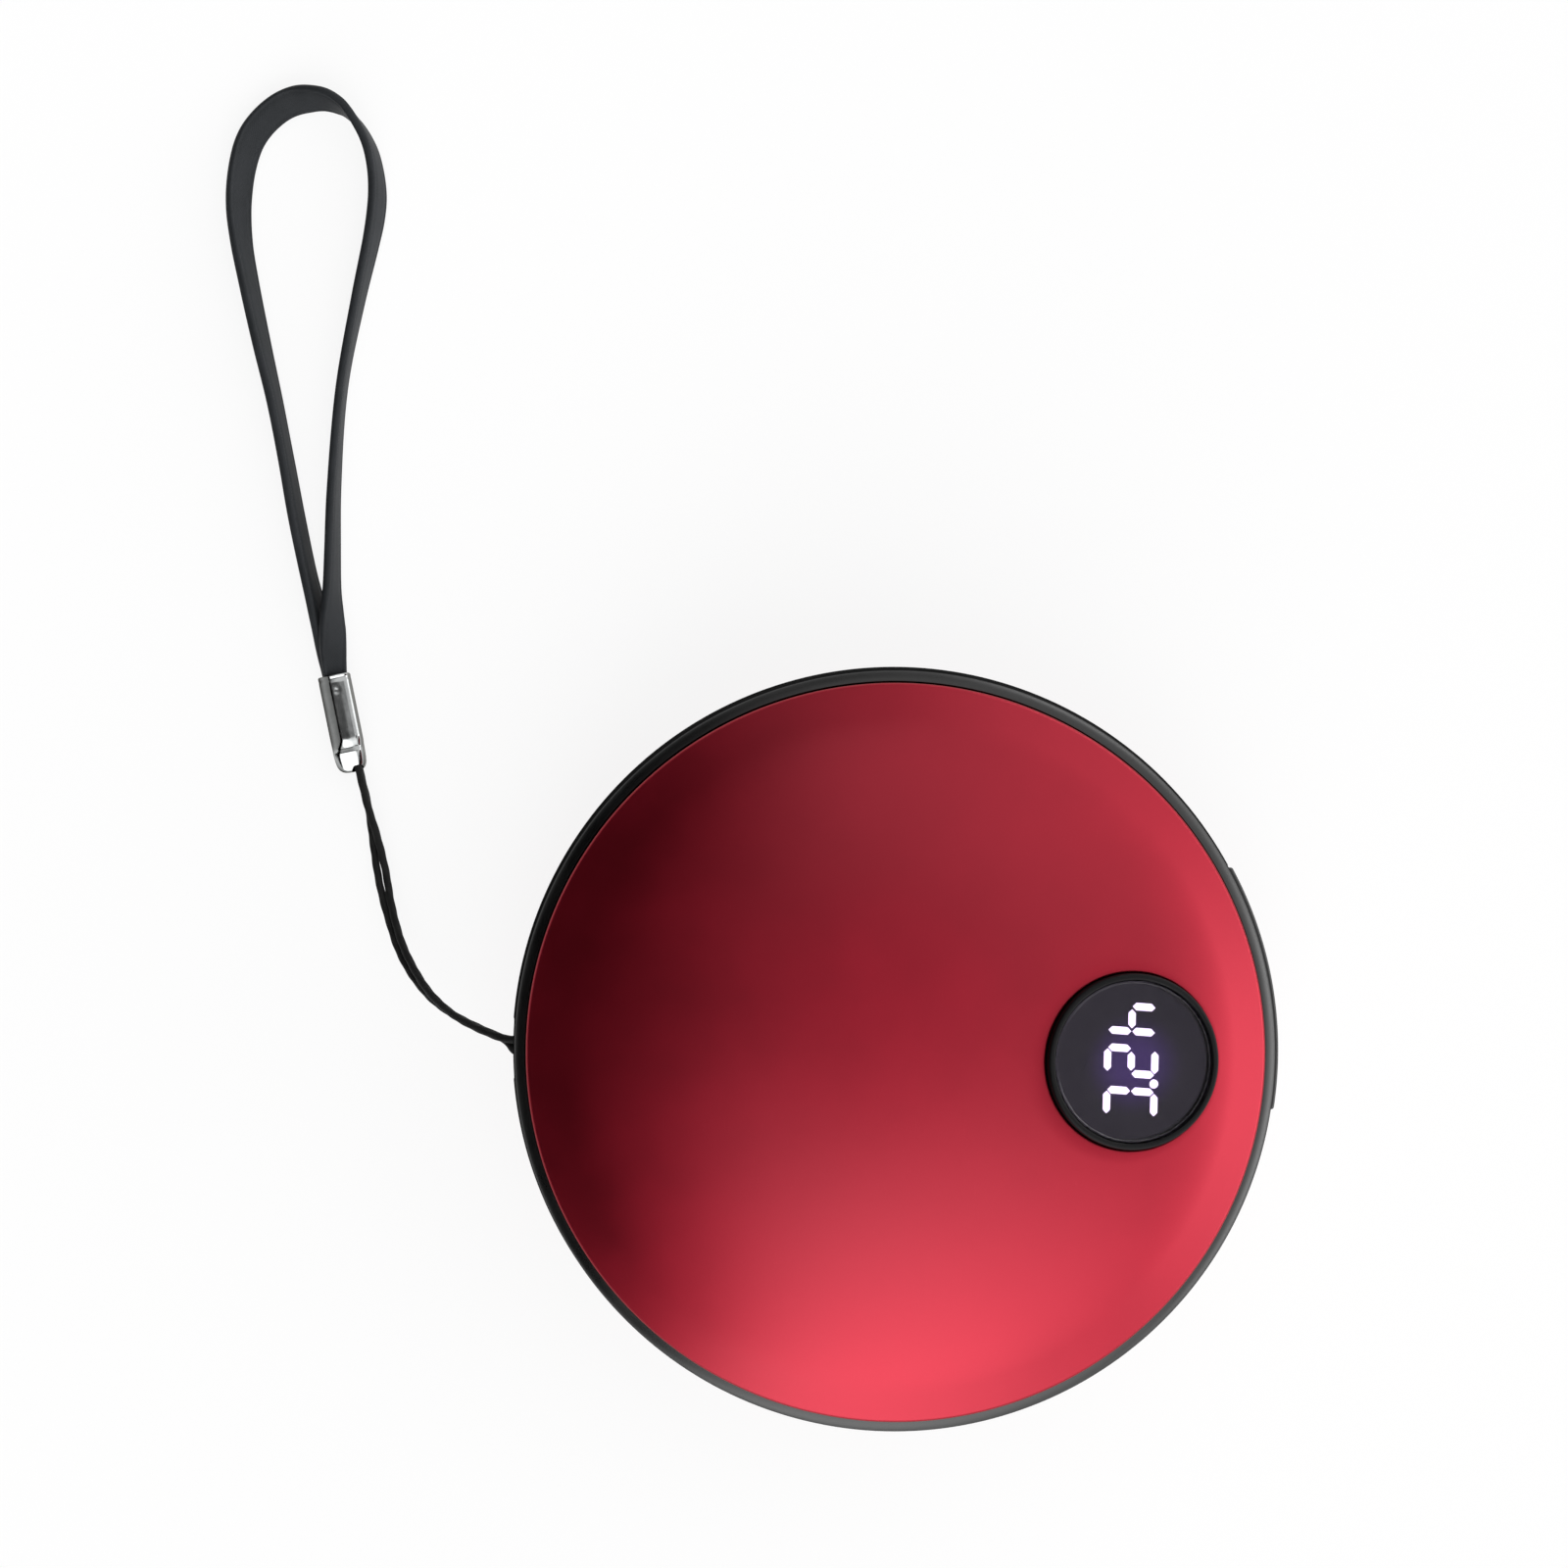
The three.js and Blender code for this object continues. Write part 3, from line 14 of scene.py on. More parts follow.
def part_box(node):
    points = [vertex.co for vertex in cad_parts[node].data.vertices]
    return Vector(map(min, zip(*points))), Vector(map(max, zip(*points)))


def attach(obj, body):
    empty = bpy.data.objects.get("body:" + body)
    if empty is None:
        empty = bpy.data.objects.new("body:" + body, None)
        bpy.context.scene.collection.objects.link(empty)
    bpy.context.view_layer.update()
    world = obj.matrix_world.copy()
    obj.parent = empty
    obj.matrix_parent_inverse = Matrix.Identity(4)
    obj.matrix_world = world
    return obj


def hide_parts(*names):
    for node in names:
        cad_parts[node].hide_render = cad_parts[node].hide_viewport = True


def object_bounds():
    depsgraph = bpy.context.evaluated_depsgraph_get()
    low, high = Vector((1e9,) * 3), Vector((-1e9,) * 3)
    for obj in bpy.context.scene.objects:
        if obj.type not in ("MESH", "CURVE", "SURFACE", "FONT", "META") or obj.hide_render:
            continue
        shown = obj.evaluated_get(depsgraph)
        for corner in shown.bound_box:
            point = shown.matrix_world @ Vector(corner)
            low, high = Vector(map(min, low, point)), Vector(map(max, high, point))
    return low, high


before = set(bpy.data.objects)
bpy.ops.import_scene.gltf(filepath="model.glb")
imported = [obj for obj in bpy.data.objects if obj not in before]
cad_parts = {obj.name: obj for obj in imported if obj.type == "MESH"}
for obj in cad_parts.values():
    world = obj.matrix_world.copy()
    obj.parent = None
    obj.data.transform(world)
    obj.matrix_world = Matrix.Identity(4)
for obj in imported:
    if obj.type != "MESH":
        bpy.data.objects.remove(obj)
cad_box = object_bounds()

MM = 0.001
TURN = 2 * pi
AROUND = 240
LYING = Matrix.Rotation(pi / 2, 4, "Y")

# Rim
BODY_RADIUS = 40.0
RIM_BOTTOM, RIM_TOP = 10.0, 21.0
RIM_MIDDLE = (RIM_BOTTOM + RIM_TOP) / 2
RIM_INNER = 35.6
SEAM_HALF = 0.1
WALL_HALF = 4.85
SHOULDER_RADIUS = 2.5
SHOULDER_FROM, SHOULDER_TO = radians(17), radians(45)
GROOVE_OUTER, GROOVE_INNER = 38.34, 36.95
GROOVE_DEPTH = 1.5
BOSS_AT = 31.71
BOSS_RADIUS = 2.6
BOSS_BOTTOM, BOSS_TOP = 9.15, 19.65
BOSS_TURNS = [Matrix.Rotation(radians(bearing), 4, "Z") for bearing in (60, 120, 240, 300)]
SCREW_HOLE = 1.3
SCREW_END = 18.65
WEB_HALF = 1.2
RIB_REACH = 36.27
LUG_INNER = 33.6
LUG_HALF = 4.4
LUG_BOTTOM, LUG_TOP = 10.9, 20.1
CUT_FROM, CUT_TO = 33.6, 42.0

# Shells, which go straight from a share of their radius out to a rounded edge
SHELL_RADIUS = 38.15
SHELL_WALL = 0.9
SKIRT_DEPTH = 1.2
SKIRT_CHAMFER = 0.1
DOME_HEIGHT = 10.0
EDGE_SHARE = 0.91
EDGE_ROUND = 0.6
REST_RADIUS = 12.0
REAR_SEMI_HEIGHT = DOME_HEIGHT / sqrt(1 - (REST_RADIUS / SHELL_RADIUS) ** 2)

# Temperature window
WINDOW_SHARE = 0.63
WINDOW_BEARING = radians(-1.3)
WINDOW_RISE = sqrt(1 - WINDOW_SHARE**2)
WINDOW_TILT = atan(DOME_HEIGHT / SHELL_RADIUS * WINDOW_SHARE / WINDOW_RISE)
WINDOW = (
    Matrix.Rotation(WINDOW_BEARING, 4, "Z")
    @ Matrix.Translation((WINDOW_SHARE * SHELL_RADIUS, 0, RIM_TOP + DOME_HEIGHT * WINDOW_RISE))
    @ Matrix.Rotation(WINDOW_TILT, 4, "Y")
)
WINDOW_HOLE = 9.1
HOLE_LIP = 0.22
BEZEL_RADIUS = 9.0
BEZEL_TOP = 0.48
BEZEL_MOUTH = 8.34
BEZEL_BORE = 6.9
BEZEL_FOOT = 10.6
FOOT_TOP, FOOT_BOTTOM = -2.5, -3.4
FACE_RADIUS = 7.9
FACE_TOP, FACE_BOTTOM = -1.1, -1.7
FACE_PLAY = 0.05
FACE_CROWN = 0.03
GUIDE_RADIUS = 6.6
GUIDE_TOP, GUIDE_BOTTOM = -2.0, -2.8
LENS_RADIUS = 8.2
LENS_TOP, LENS_BOTTOM = 0.4, -0.8
LENS_SAG = 0.2
LENS_ROUND = 0.22
GLOW_LEVEL = 0.13
GLOW_FULL, GLOW_END = 1.2, 5.5
GLOW_MIDDLE = (0.3, -0.3)

# Port panel and sockets, with angles in degrees
PANEL_FROM, PANEL_TO = -9.0, 28.5
PANEL_INNER, PANEL_OUTER = 38.85, 40.04
PANEL_HALF = 3.2
PANEL_ROUND = 0.3
SEAT_INNER = 38.55
SEAT_HALF = 3.45
SEAT_PLAY = 0.3
OPENING_HALF = 3.15
SOCKET_PLAY = 0.3
PORTS = Matrix.Rotation(radians((PANEL_FROM + PANEL_TO) / 2), 4, "Z")
USB_A = SimpleNamespace(
    across=5, middle=RIM_MIDDLE, width=13.1, height=5.7, corner=0.8, wall=0.4,
    mouth=36.79, depth=13.5, block=3,
    tongue_width=11, tongue_height=1.9, tongue_short=1.5,
    contacts=(-3.5, -1.0, 1.0, 3.5), contact_width=1.0, contact_short=1.8,
)
CHARGE = SimpleNamespace(
    across=-7, middle=14.25, width=8.9, height=3.2, corner=1.6, wall=0.3,
    mouth=36.82, depth=7.4, block=1.4,
    tongue_width=6.6, tongue_height=0.7, tongue_short=0.8,
    contacts=(-1.3, -0.65, 0.0, 0.65, 1.3), contact_width=0.3, contact_short=1.0,
)
CONTACT_SINK = 0.005

# Power button
BUTTON_WIDTH, BUTTON_HEIGHT = 7.4, 3.0
BUTTON_FACE = 40.02
BUTTON_PLAY = 0.2
FLANGE_BACK, FLANGE_FRONT = 33.98, 34.88
FLANGE_REACH = 1.0

# Lanyard, with the cord's length in metres
PIN_X = -37.2
PIN_RADIUS = 1.0
PIN_HALF = 3.1
PIN_CHAMFER = 0.15
PIN_HOLE = 1.2
PIN_HOLE_HALF = 3.4
POCKET_WIDTH, POCKET_HEIGHT = 6.4, 4.6
POCKET_CORNER = 0.9
POCKET_FLOOR = 34.8
CORD_RADIUS = 0.43
CORD_PITCH = 2.2
CORD_RINGS = 600
CORD_LENGTH = 0.0967
PAIR_SPREAD = 0.45
WRAP_RADIUS = 1.7
STRAP_WIDTH = 3.3
STRAP_END_WIDTH = 2.2
STRAP_THICKNESS = 0.9
WEAVE_ALONG, WEAVE_ACROSS = 0.34, 0.30
CRIMP = Matrix.Translation((-58.2, 29, 0.25)) @ Matrix.Rotation(radians(11.5), 4, "Z")
CRIMP_LENGTH = 10.7
CRIMP_HALF = 1.7
CRIMP_TOP = 3.3
EYE_X, EYE_Z = 0.6, 1.62
EYE_WIDTH, EYE_HEIGHT, EYE_DEPTH = 1.3, 1.9, 3.0
EYE_CORNER = 0.5
DIMPLE_X, DIMPLE_Y = 0.15, 8.9
DIMPLE_SIZE, DIMPLE_DEPTH = 0.3, 0.07

# Studio, in metres
FLOOR_REACH = 3.0
FLOOR_DROP = 0.0001
FLOOR_WHITE = 0.86
CAMERA_PLACE = (-0.0115, 0.0277, 0.4405)
CAMERA_LENS, CAMERA_SENSOR = 92.94, 36.0

# The room's soft patches: bearing, angle down from straight up, where full, where ended, and level
ROOM_LEVEL = 1.08
ROOM_LIGHTS = [(-115, 51, 2, 60, 2.6), (-7, 110, 2, 60, 4.3), (57, 102, 18, 27, 3.6)]
ROOM_SHADES = [(179, 69, 50, 68, 0.0), (0, 0, 9, 17, 0.08), (-9, 29, 7, 13, 0.05), (100, 75, 16, 28, 0.4)]


# Mesh building

def skin(loops, closed=True, wrap=False, caps=False):
    """Vertices and faces over loops of points.

    closed joins each loop's ends, wrap the last loop to the first, and caps fills the two end loops.
    """
    count = len(loops[0])
    vertices = [tuple(point) for loop in loops for point in loop]
    faces = []
    for i in range(len(loops) if wrap else len(loops) - 1):
        a, b = i * count, (i + 1) % len(loops) * count
        for k in range(count if closed else count - 1):
            n = (k + 1) % count
            faces.append((a + k, a + n, b + n, b + k))
    if caps:
        faces.append(tuple(range(count))[::-1])
        faces.append(tuple(range(len(vertices) - count, len(vertices))))
    return vertices, faces


def rounded(corners, steps=5):
    """A closed outline from corners of x, y and rounding radius."""
    outline = []
    for i, (x, y, radius) in enumerate(corners):
        here = Vector((x, y))
        before = Vector(corners[i - 1][:2]) - here
        after = Vector(corners[(i + 1) % len(corners)][:2]) - here
        if radius <= 0:
            outline.append((x, y))
            continue
        half = before.angle(after) / 2
        reach = min(radius / tan(half), 0.4999 * before.length, 0.4999 * after.length)
        radius = reach * tan(half)
        middle = here + (before.normalized() + after.normalized()).normalized() * (radius / sin(half))
        first = here + before.normalized() * reach - middle
        last = here + after.normalized() * reach - middle
        start = atan2(first.y, first.x)
        sweep = (atan2(last.y, last.x) - start + pi) % TURN - pi
        for k in range(steps + 1):
            angle = start + sweep * k / steps
            outline.append((middle.x + radius * cos(angle), middle.y + radius * sin(angle)))
    return outline


def polar(radius, angle):
    return radius * cos(angle), radius * sin(angle)


def circle(radius, x, y, sides):
    angles = [TURN * i / sides for i in range(sides)]
    return [(x + radius * cos(a), y + radius * sin(a)) for a in angles]


def rectangle(width, height, corner, steps=5, inset=0.0):
    """A rounded rectangle about the middle; inset draws in its sides and its corners' rounding alike."""
    x, y, r = width / 2 - inset, height / 2 - inset, corner - inset
    return rounded([(x, -y, r), (x, y, r), (-x, y, r), (-x, -y, r)], steps)


def lathe(profile, sides=AROUND):
    """A profile of radius and height turned about Z. One that starts on the axis ends on it too."""
    loops = []
    for i in range(sides):
        angle = TURN * i / sides
        loops.append([(*polar(r, angle), z) for r, z in profile])
    return skin(loops, closed=profile[0][0] > 0, wrap=True)


def prism(outline, low, high):
    return skin([[(x, y, z) for x, y in outline] for z in (low, high)], caps=True)


def box(x, y, z):
    corners = [(x[0], y[0]), (x[1], y[0]), (x[1], y[1]), (x[0], y[1])]
    return prism(corners, *z)


def post(radius, z, x, sides=48):
    return prism(circle(radius, x, 0, sides), *z)


def joined(*meshes):
    vertices, faces = [], []
    for more_vertices, more_faces in meshes:
        start = len(vertices)
        vertices.extend(more_vertices)
        faces.extend(tuple(start + k for k in face) for face in more_faces)
    return vertices, faces


def solid(name, mesh, place=Matrix.Identity(4)):
    """A new object from vertices in millimetres, set in its place."""
    vertices, faces = mesh
    data = bpy.data.meshes.new(name)
    data.from_pydata([(place @ Vector(v)) * MM for v in vertices], [], faces)
    work = bmesh.new()
    work.from_mesh(data)
    bmesh.ops.remove_doubles(work, verts=work.verts, dist=1e-7)
    bmesh.ops.recalc_face_normals(work, faces=work.faces)
    work.to_mesh(data)
    work.free()
    made = bpy.data.objects.new(name, data)
    bpy.context.scene.collection.objects.link(made)
    return made


def combine(base, operation, *meshes, place=Matrix.Identity(4)):
    """Adds meshes to an object, or cuts them out of it."""
    for mesh in meshes:
        other = solid("tool", mesh, place)
        modifier = base.modifiers.new("combine", "BOOLEAN")
        modifier.object = other
        modifier.operation = operation
        modifier.solver = "MANIFOLD"
        evaluated = base.evaluated_get(bpy.context.evaluated_depsgraph_get())
        result = bpy.data.meshes.new_from_object(evaluated)
        base.modifiers.clear()
        base.data = result
        bpy.data.objects.remove(other)
    return base


def dress(piece, slot, *nodes, body="body", sharp=32, look=None):
    """Gives a piece its finish and body, and hides the CAD nodes it stands for."""
    piece.data.materials.clear()
    piece.data.materials.append(FINISHES[look or slot])
    piece.data.shade_smooth()
    piece.data.set_sharp_from_angle(angle=radians(sharp))
    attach(piece, body)
    if nodes:
        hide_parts(*nodes)
    return piece


def spline(points, steps):
    """Points along a centripetal Catmull-Rom curve through a route, so many to each of its spans."""
    points = [Vector(p) for p in points]
    ends = [2 * points[0] - points[1], *points, 2 * points[-1] - points[-2]]
    curve = []
    for i in range(1, len(ends) - 2):
        a, b, c, d = ends[i - 1:i + 3]
        ab, bc, cd = (sqrt((q - p).length) for p, q in ((a, b), (b, c), (c, d)))
        leave = ((b - a) / ab - (c - a) / (ab + bc) + (c - b) / bc) * bc
        arrive = ((c - b) / bc - (d - b) / (bc + cd) + (d - c) / cd) * bc
        for k in range(steps):
            t = k / steps
            cubic = 2 * (b - c) + leave + arrive
            square = 3 * (c - b) - 2 * leave - arrive
            curve.append(b + leave * t + square * t**2 + cubic * t**3)
    curve.append(points[-1])
    return curve


def evenly(points, count):
    """The same line cut into so many even steps."""
    points = [Vector(p) for p in points]
    lengths = [0.0]
    for a, b in zip(points, points[1:]):
        lengths.append(lengths[-1] + (b - a).length)
    line, k = [], 0
    for i in range(count + 1):
        want = lengths[-1] * i / count
        while k < len(points) - 2 and lengths[k + 1] < want:
            k += 1
        line.append(points[k].lerp(points[k + 1], (want - lengths[k]) / (lengths[k + 1] - lengths[k])))
    return line


def tangents(points):
    last = len(points) - 1
    return [(points[min(i + 1, last)] - points[max(i - 1, 0)]).normalized() for i in range(last + 1)]


# Finishes

FINISHES = {}


def feed(tree, node, inputs):
    """Sets a node's inputs to values, or links them to outputs of other nodes."""
    for key, value in inputs.items():
        if isinstance(value, bpy.types.NodeSocket):
            tree.links.new(value, node.inputs[key])
        else:
            node.inputs[key].default_value = value


def add(tree, kind, inputs=None, **settings):
    """A new shader node, with its inputs fed and its own settings made."""
    made = tree.nodes.new("ShaderNode" + kind)
    for key, value in settings.items():
        setattr(made, key, value)
    feed(tree, made, inputs or {})
    return made


def material(name):
    """A new material, its node tree and its shader."""
    made = bpy.data.materials.new(name)
    made.use_nodes = True
    return made, made.node_tree, made.node_tree.nodes["Principled BSDF"]


def noise(tree, size, detail=3.0, stretch=(1, 1, 1)):
    """Noise with features of a size in millimetres."""
    place = add(tree, "TexCoord").outputs["Object"]
    scaled = add(tree, "VectorMath", {0: place, 1: stretch}, operation="MULTIPLY").outputs[0]
    inputs = {"Vector": scaled, "Scale": 1 / (size * MM), "Detail": detail}
    return add(tree, "TexNoise", inputs).outputs[0]


def ranged(tree, value, low, high, source=(0.3, 0.7)):
    inputs = {"Value": value, 1: source[0], 2: source[1], 3: low, 4: high}
    return add(tree, "MapRange", inputs).outputs[0]


def mixed(tree, factor, a, b):
    return add(tree, "Mix", {0: factor, 6: a, 7: b}, data_type="RGBA").outputs[2]


def maths(tree, operation, value, *others):
    """One value out of several, by the same operation in turn."""
    for other in others:
        value = add(tree, "Math", {0: value, 1: other}, operation=operation).outputs[0]
    return value


def attribute(tree, name):
    return add(tree, "Attribute", attribute_name=name).outputs["Fac"]


def finish(name, dark, light, rough, grain, depth, patch=6.0, wear=None, painted_shade=None, relief=None,
           stretch=(1, 1, 1), **own):
    """A procedural finish, kept under its name: patches of two colours, a range of roughness and a fine bump.

    patch, grain and depth are in millimetres. wear is the colour of fine rub marks, their width and share,
    stain a colour of painted shade, laid where the attribute "stain" is 1, and relief a function that adds to
    the bump's height.
    """
    made, tree, shader = material(name)
    fine = noise(tree, grain, 3.0, stretch)
    broad = noise(tree, patch, 4.0)
    colour = mixed(tree, ranged(tree, broad, 0, 1), (*dark, 1), (*light, 1))
    if wear:
        tint, width, share = wear
        rubbed = ranged(tree, noise(tree, width, 2.0, (1, 0.06, 1)), 0, share, (0.66, 0.74))
        colour = mixed(tree, maths(tree, "MULTIPLY", rubbed, broad), colour, (*tint, 1))
    # Painted shade: a darker colour mixed in where the marking attribute is 1.
    if painted_shade:
        colour = mixed(tree, attribute(tree, "painted_shade"), colour, (*painted_shade, 1))
    uneven = maths(tree, "ADD", fine, broad)
    height = maths(tree, "ADD", fine, relief(tree)) if relief else fine
    bump = add(tree, "Bump", {"Height": height, "Distance": depth * MM, "Strength": 0.6})
    feed(tree, shader, {
        "Base Color": colour, "Normal": bump.outputs[0],
        "Roughness": ranged(tree, uneven, *rough, (0.7, 1.3))})
    feed(tree, shader, {key.replace("_", " ").title().replace("Ior", "IOR"): own[key] for key in own})
    FINISHES[name] = made


def weave(tree):
    """Height of a fine plain weave along and across the strap."""
    waves = []
    for name, pitch in (("along", WEAVE_ALONG), ("across", WEAVE_ACROSS)):
        phase = maths(tree, "MULTIPLY", attribute(tree, name), TURN / pitch)
        waves.append(add(tree, "Math", {0: phase}, operation="SINE").outputs[0])
    return maths(tree, "MULTIPLY", *waves)


finish(
    "red_metal", (0.335, 0.0115, 0.027), (0.365, 0.0130, 0.030), (0.41, 0.47), 0.16, 0.010, patch=9,
    wear=((0.45, 0.03, 0.05), 0.12, 0.25),
    metallic=1.0, specular_tint=(0.45, 0.3, 0.32, 1),
    coat_weight=0.36, coat_roughness=0.3, coat_ior=1.5)
finish(
    "black_plastic", (0.004, 0.004, 0.004), (0.007, 0.007, 0.007), (0.27, 0.36), 0.12, 0.005,
    wear=((0.02, 0.02, 0.02), 0.1, 0.5), specular_ior_level=0.6)
finish(
    "matt_black", (0.003, 0.003, 0.0035), (0.005, 0.005, 0.0055), (0.4, 0.52), 0.12, 0.003,
    specular_ior_level=0.14)
finish(
    "smoked_lens", (0.62, 0.57, 0.68), (0.66, 0.61, 0.72), (0.01, 0.03), 2.0, 0.0005, patch=5,
    transmission_weight=1.0, ior=1.49)
finish("black_part", (0.007, 0.006, 0.010), (0.011, 0.010, 0.014), (0.45, 0.6), 0.2, 0.008)
finish("grey_plastic", (0.08, 0.09, 0.10), (0.10, 0.11, 0.12), (0.45, 0.6), 0.3, 0.015)
finish("board", (0.010, 0.085, 0.035), (0.018, 0.115, 0.048), (0.3, 0.45), 0.5, 0.02, patch=3)
finish(
    "steel", (0.44, 0.46, 0.48), (0.52, 0.54, 0.56), (0.22, 0.36), 0.1, 0.006,
    stretch=(0.1, 1, 1), metallic=1.0)
finish("contact", (0.62, 0.44, 0.16), (0.72, 0.52, 0.20), (0.2, 0.32), 0.1, 0.003, patch=2, metallic=1.0)
finish("white_plastic", (0.68, 0.68, 0.67), (0.76, 0.76, 0.75), (0.4, 0.5), 0.2, 0.008)
finish("ferrite", (0.035, 0.035, 0.040), (0.055, 0.055, 0.060), (0.6, 0.8), 0.15, 0.03)
finish("foil", (0.42, 0.44, 0.48), (0.54, 0.56, 0.60), (0.28, 0.46), 0.8, 0.05, metallic=0.8)
finish("foam", (0.62, 0.60, 0.53), (0.74, 0.72, 0.65), (0.85, 0.95), 0.25, 0.12)
finish("film", (0.38, 0.13, 0.016), (0.52, 0.20, 0.030), (0.25, 0.4), 0.6, 0.02, patch=2)
finish("red_insulation", (0.40, 0.011, 0.011), (0.48, 0.017, 0.017), (0.4, 0.55), 0.2, 0.01)
finish("black_insulation", (0.011, 0.011, 0.013), (0.018, 0.018, 0.020), (0.4, 0.55), 0.2, 0.01)
# The chrome's third, dark colour is painted shade, laid on the clamp's walls and bevels.
finish(
    "chrome", (0.37, 0.38, 0.38), (0.47, 0.48, 0.48), (0.12, 0.2), 0.6, 0.006, patch=1.6,
    painted_shade=(0.035, 0.035, 0.031), metallic=1.0, specular_tint=(0.35, 0.35, 0.33, 1))
finish(
    "cord", (0.004, 0.004, 0.004), (0.008, 0.008, 0.008), (0.6, 0.75), 0.06, 0.02, patch=1.0,
    specular_ior_level=0.2, sheen_weight=0.02)
finish(
    "strap", (0.013, 0.015, 0.017), (0.020, 0.022, 0.025), (0.55, 0.7), 0.1, 0.012, patch=4,
    relief=weave, specular_ior_level=0.2, sheen_weight=0.02)


def lit_finish():
    """White light guide under the lens, lit from behind, a little uneven and violet in places."""
    made, tree, shader = material("lit_figures")
    uneven = ranged(tree, noise(tree, 1.2), 0, 1)
    colour = mixed(tree, uneven, (0.86, 0.78, 1.0, 1), (1.0, 0.95, 1.0, 1))
    feed(tree, shader, {
        "Base Color": colour, "Roughness": ranged(tree, uneven, 0.4, 0.6, (0, 1)),
        "Emission Color": colour, "Emission Strength": 2.2})
    return made


def face_finish():
    """The dark face of the window, with a violet glow round the lit bars."""
    made = FINISHES["black_part"].copy()
    made.name = "lit_face"
    tree = made.node_tree
    shader = tree.nodes["Principled BSDF"]
    place = add(tree, "TexCoord").outputs["Object"]
    middle = WINDOW @ Vector((*GLOW_MIDDLE, FACE_TOP)) * MM
    away = add(tree, "VectorMath", {0: place, 1: middle}, operation="DISTANCE").outputs["Value"]
    limits = {"Value": away, 1: GLOW_FULL * MM, 2: GLOW_END * MM, 3: GLOW_LEVEL, 4: 0.0}
    glow = add(tree, "MapRange", limits, interpolation_type="SMOOTHSTEP").outputs[0]
    feed(tree, shader, {"Emission Color": (0.36, 0.13, 1.0, 1), "Emission Strength": glow})
    return made


def matt_walls(made, shine, tone):
    """Takes the shine off a finish, and lightens it to a tone, where the attribute "wall" is 1."""
    tree = made.node_tree
    shader = tree.nodes["Principled BSDF"]
    wall = attribute(tree, "wall")
    colour = shader.inputs["Base Color"].links[0].from_socket
    feed(tree, shader, {
        "Base Color": mixed(tree, wall, colour, (tone, tone, tone, 1)),
        "Specular IOR Level": ranged(tree, wall, shine, 0.0, (0, 1))})


def mark(piece, name, value):
    """Gives each vertex of a piece a number worked out from its place in millimetres."""
    values = [value(v.co / MM) for v in piece.data.vertices]
    piece.data.attributes.new(name, "FLOAT", "POINT").data.foreach_set("value", values)
    return piece


matt_walls(FINISHES["black_plastic"], 0.6, 0.014)
FINISHES["lit_figures"] = lit_finish()
FINISHES["lit_face"] = face_finish()


# Domes

def on_dome(angle, distance, radius, height):
    """The point of a dome that stands a distance from the window's axis, at an angle about it."""
    start = WINDOW @ Vector((*polar(distance, angle), 0))
    way = WINDOW.to_3x3() @ Vector((0, 0, 1))
    up = start.z - RIM_TOP
    a = (way.x**2 + way.y**2) / radius**2 + way.z**2 / height**2
    b = 2 * ((start.x * way.x + start.y * way.y) / radius**2 + up * way.z / height**2)
    c = (start.x**2 + start.y**2) / radius**2 + up**2 / height**2 - 1
    return start + way * ((-b + sqrt(b * b - 4 * a * c)) / (2 * a))


def ellipse_rise(r, radius, height):
    return height * sqrt(max(0.0, 1 - (r / radius) ** 2))


def edge_slope(height):
    return height / SHELL_RADIUS * EDGE_SHARE / sqrt(1 - EDGE_SHARE**2)


def dome_rise(r, height):
    """Height of a shell's outside above its rim: an ellipse that goes straight on near the edge."""
    bend = EDGE_SHARE * SHELL_RADIUS
    return ellipse_rise(min(r, bend), SHELL_RADIUS, height) - max(0.0, r - bend) * edge_slope(height)


def dome_edge(height, steps=8):
    """Radius and rise of points round a shell's edge, from the straight slope over to its upright wall."""
    lean = atan(edge_slope(height))
    start = SHELL_RADIUS - EDGE_ROUND * (1 - sin(lean))
    low = dome_rise(start, height) - EDGE_ROUND * cos(lean)
    angles = [lean + (pi / 2 - lean) * i / steps for i in range(steps + 1)]
    return [(SHELL_RADIUS - EDGE_ROUND * (1 - sin(a)), low + EDGE_ROUND * cos(a)) for a in angles]


def skirt():
    """Radius and depth of points round a shell's foot, which stands in the rim's groove."""
    inner, start = SHELL_RADIUS - SHELL_WALL, SKIRT_DEPTH - SKIRT_CHAMFER
    return [(SHELL_RADIUS, start), (SHELL_RADIUS - SKIRT_CHAMFER, SKIRT_DEPTH),
            (inner + SKIRT_CHAMFER, SKIRT_DEPTH), (inner, start)]


def dome_rings(radius, height, hole, rings, reach, rise):
    """Rings of a dome from its window's hole out to a reach, where rise gives its height at a radius."""
    made = []
    for i in range(rings + 1):
        t = 1 - (1 - i / rings) ** 2
        ring = []
        for k in range(AROUND):
            angle = TURN * k / AROUND
            inner = on_dome(angle, hole, radius, height)
            bearing = angle + WINDOW_BEARING
            x = (1 - t) * inner.x + t * reach * cos(bearing)
            y = (1 - t) * inner.y + t * reach * sin(bearing)
            ring.append((x, y, RIM_TOP + rise(hypot(x, y))))
        made.append(ring)
    return made


def level_ring(r, z):
    """A ring about the body's axis, whose first point has the window's bearing."""
    bearings = [TURN * k / AROUND + WINDOW_BEARING for k in range(AROUND)]
    return [(*polar(r, bearing), z) for bearing in bearings]


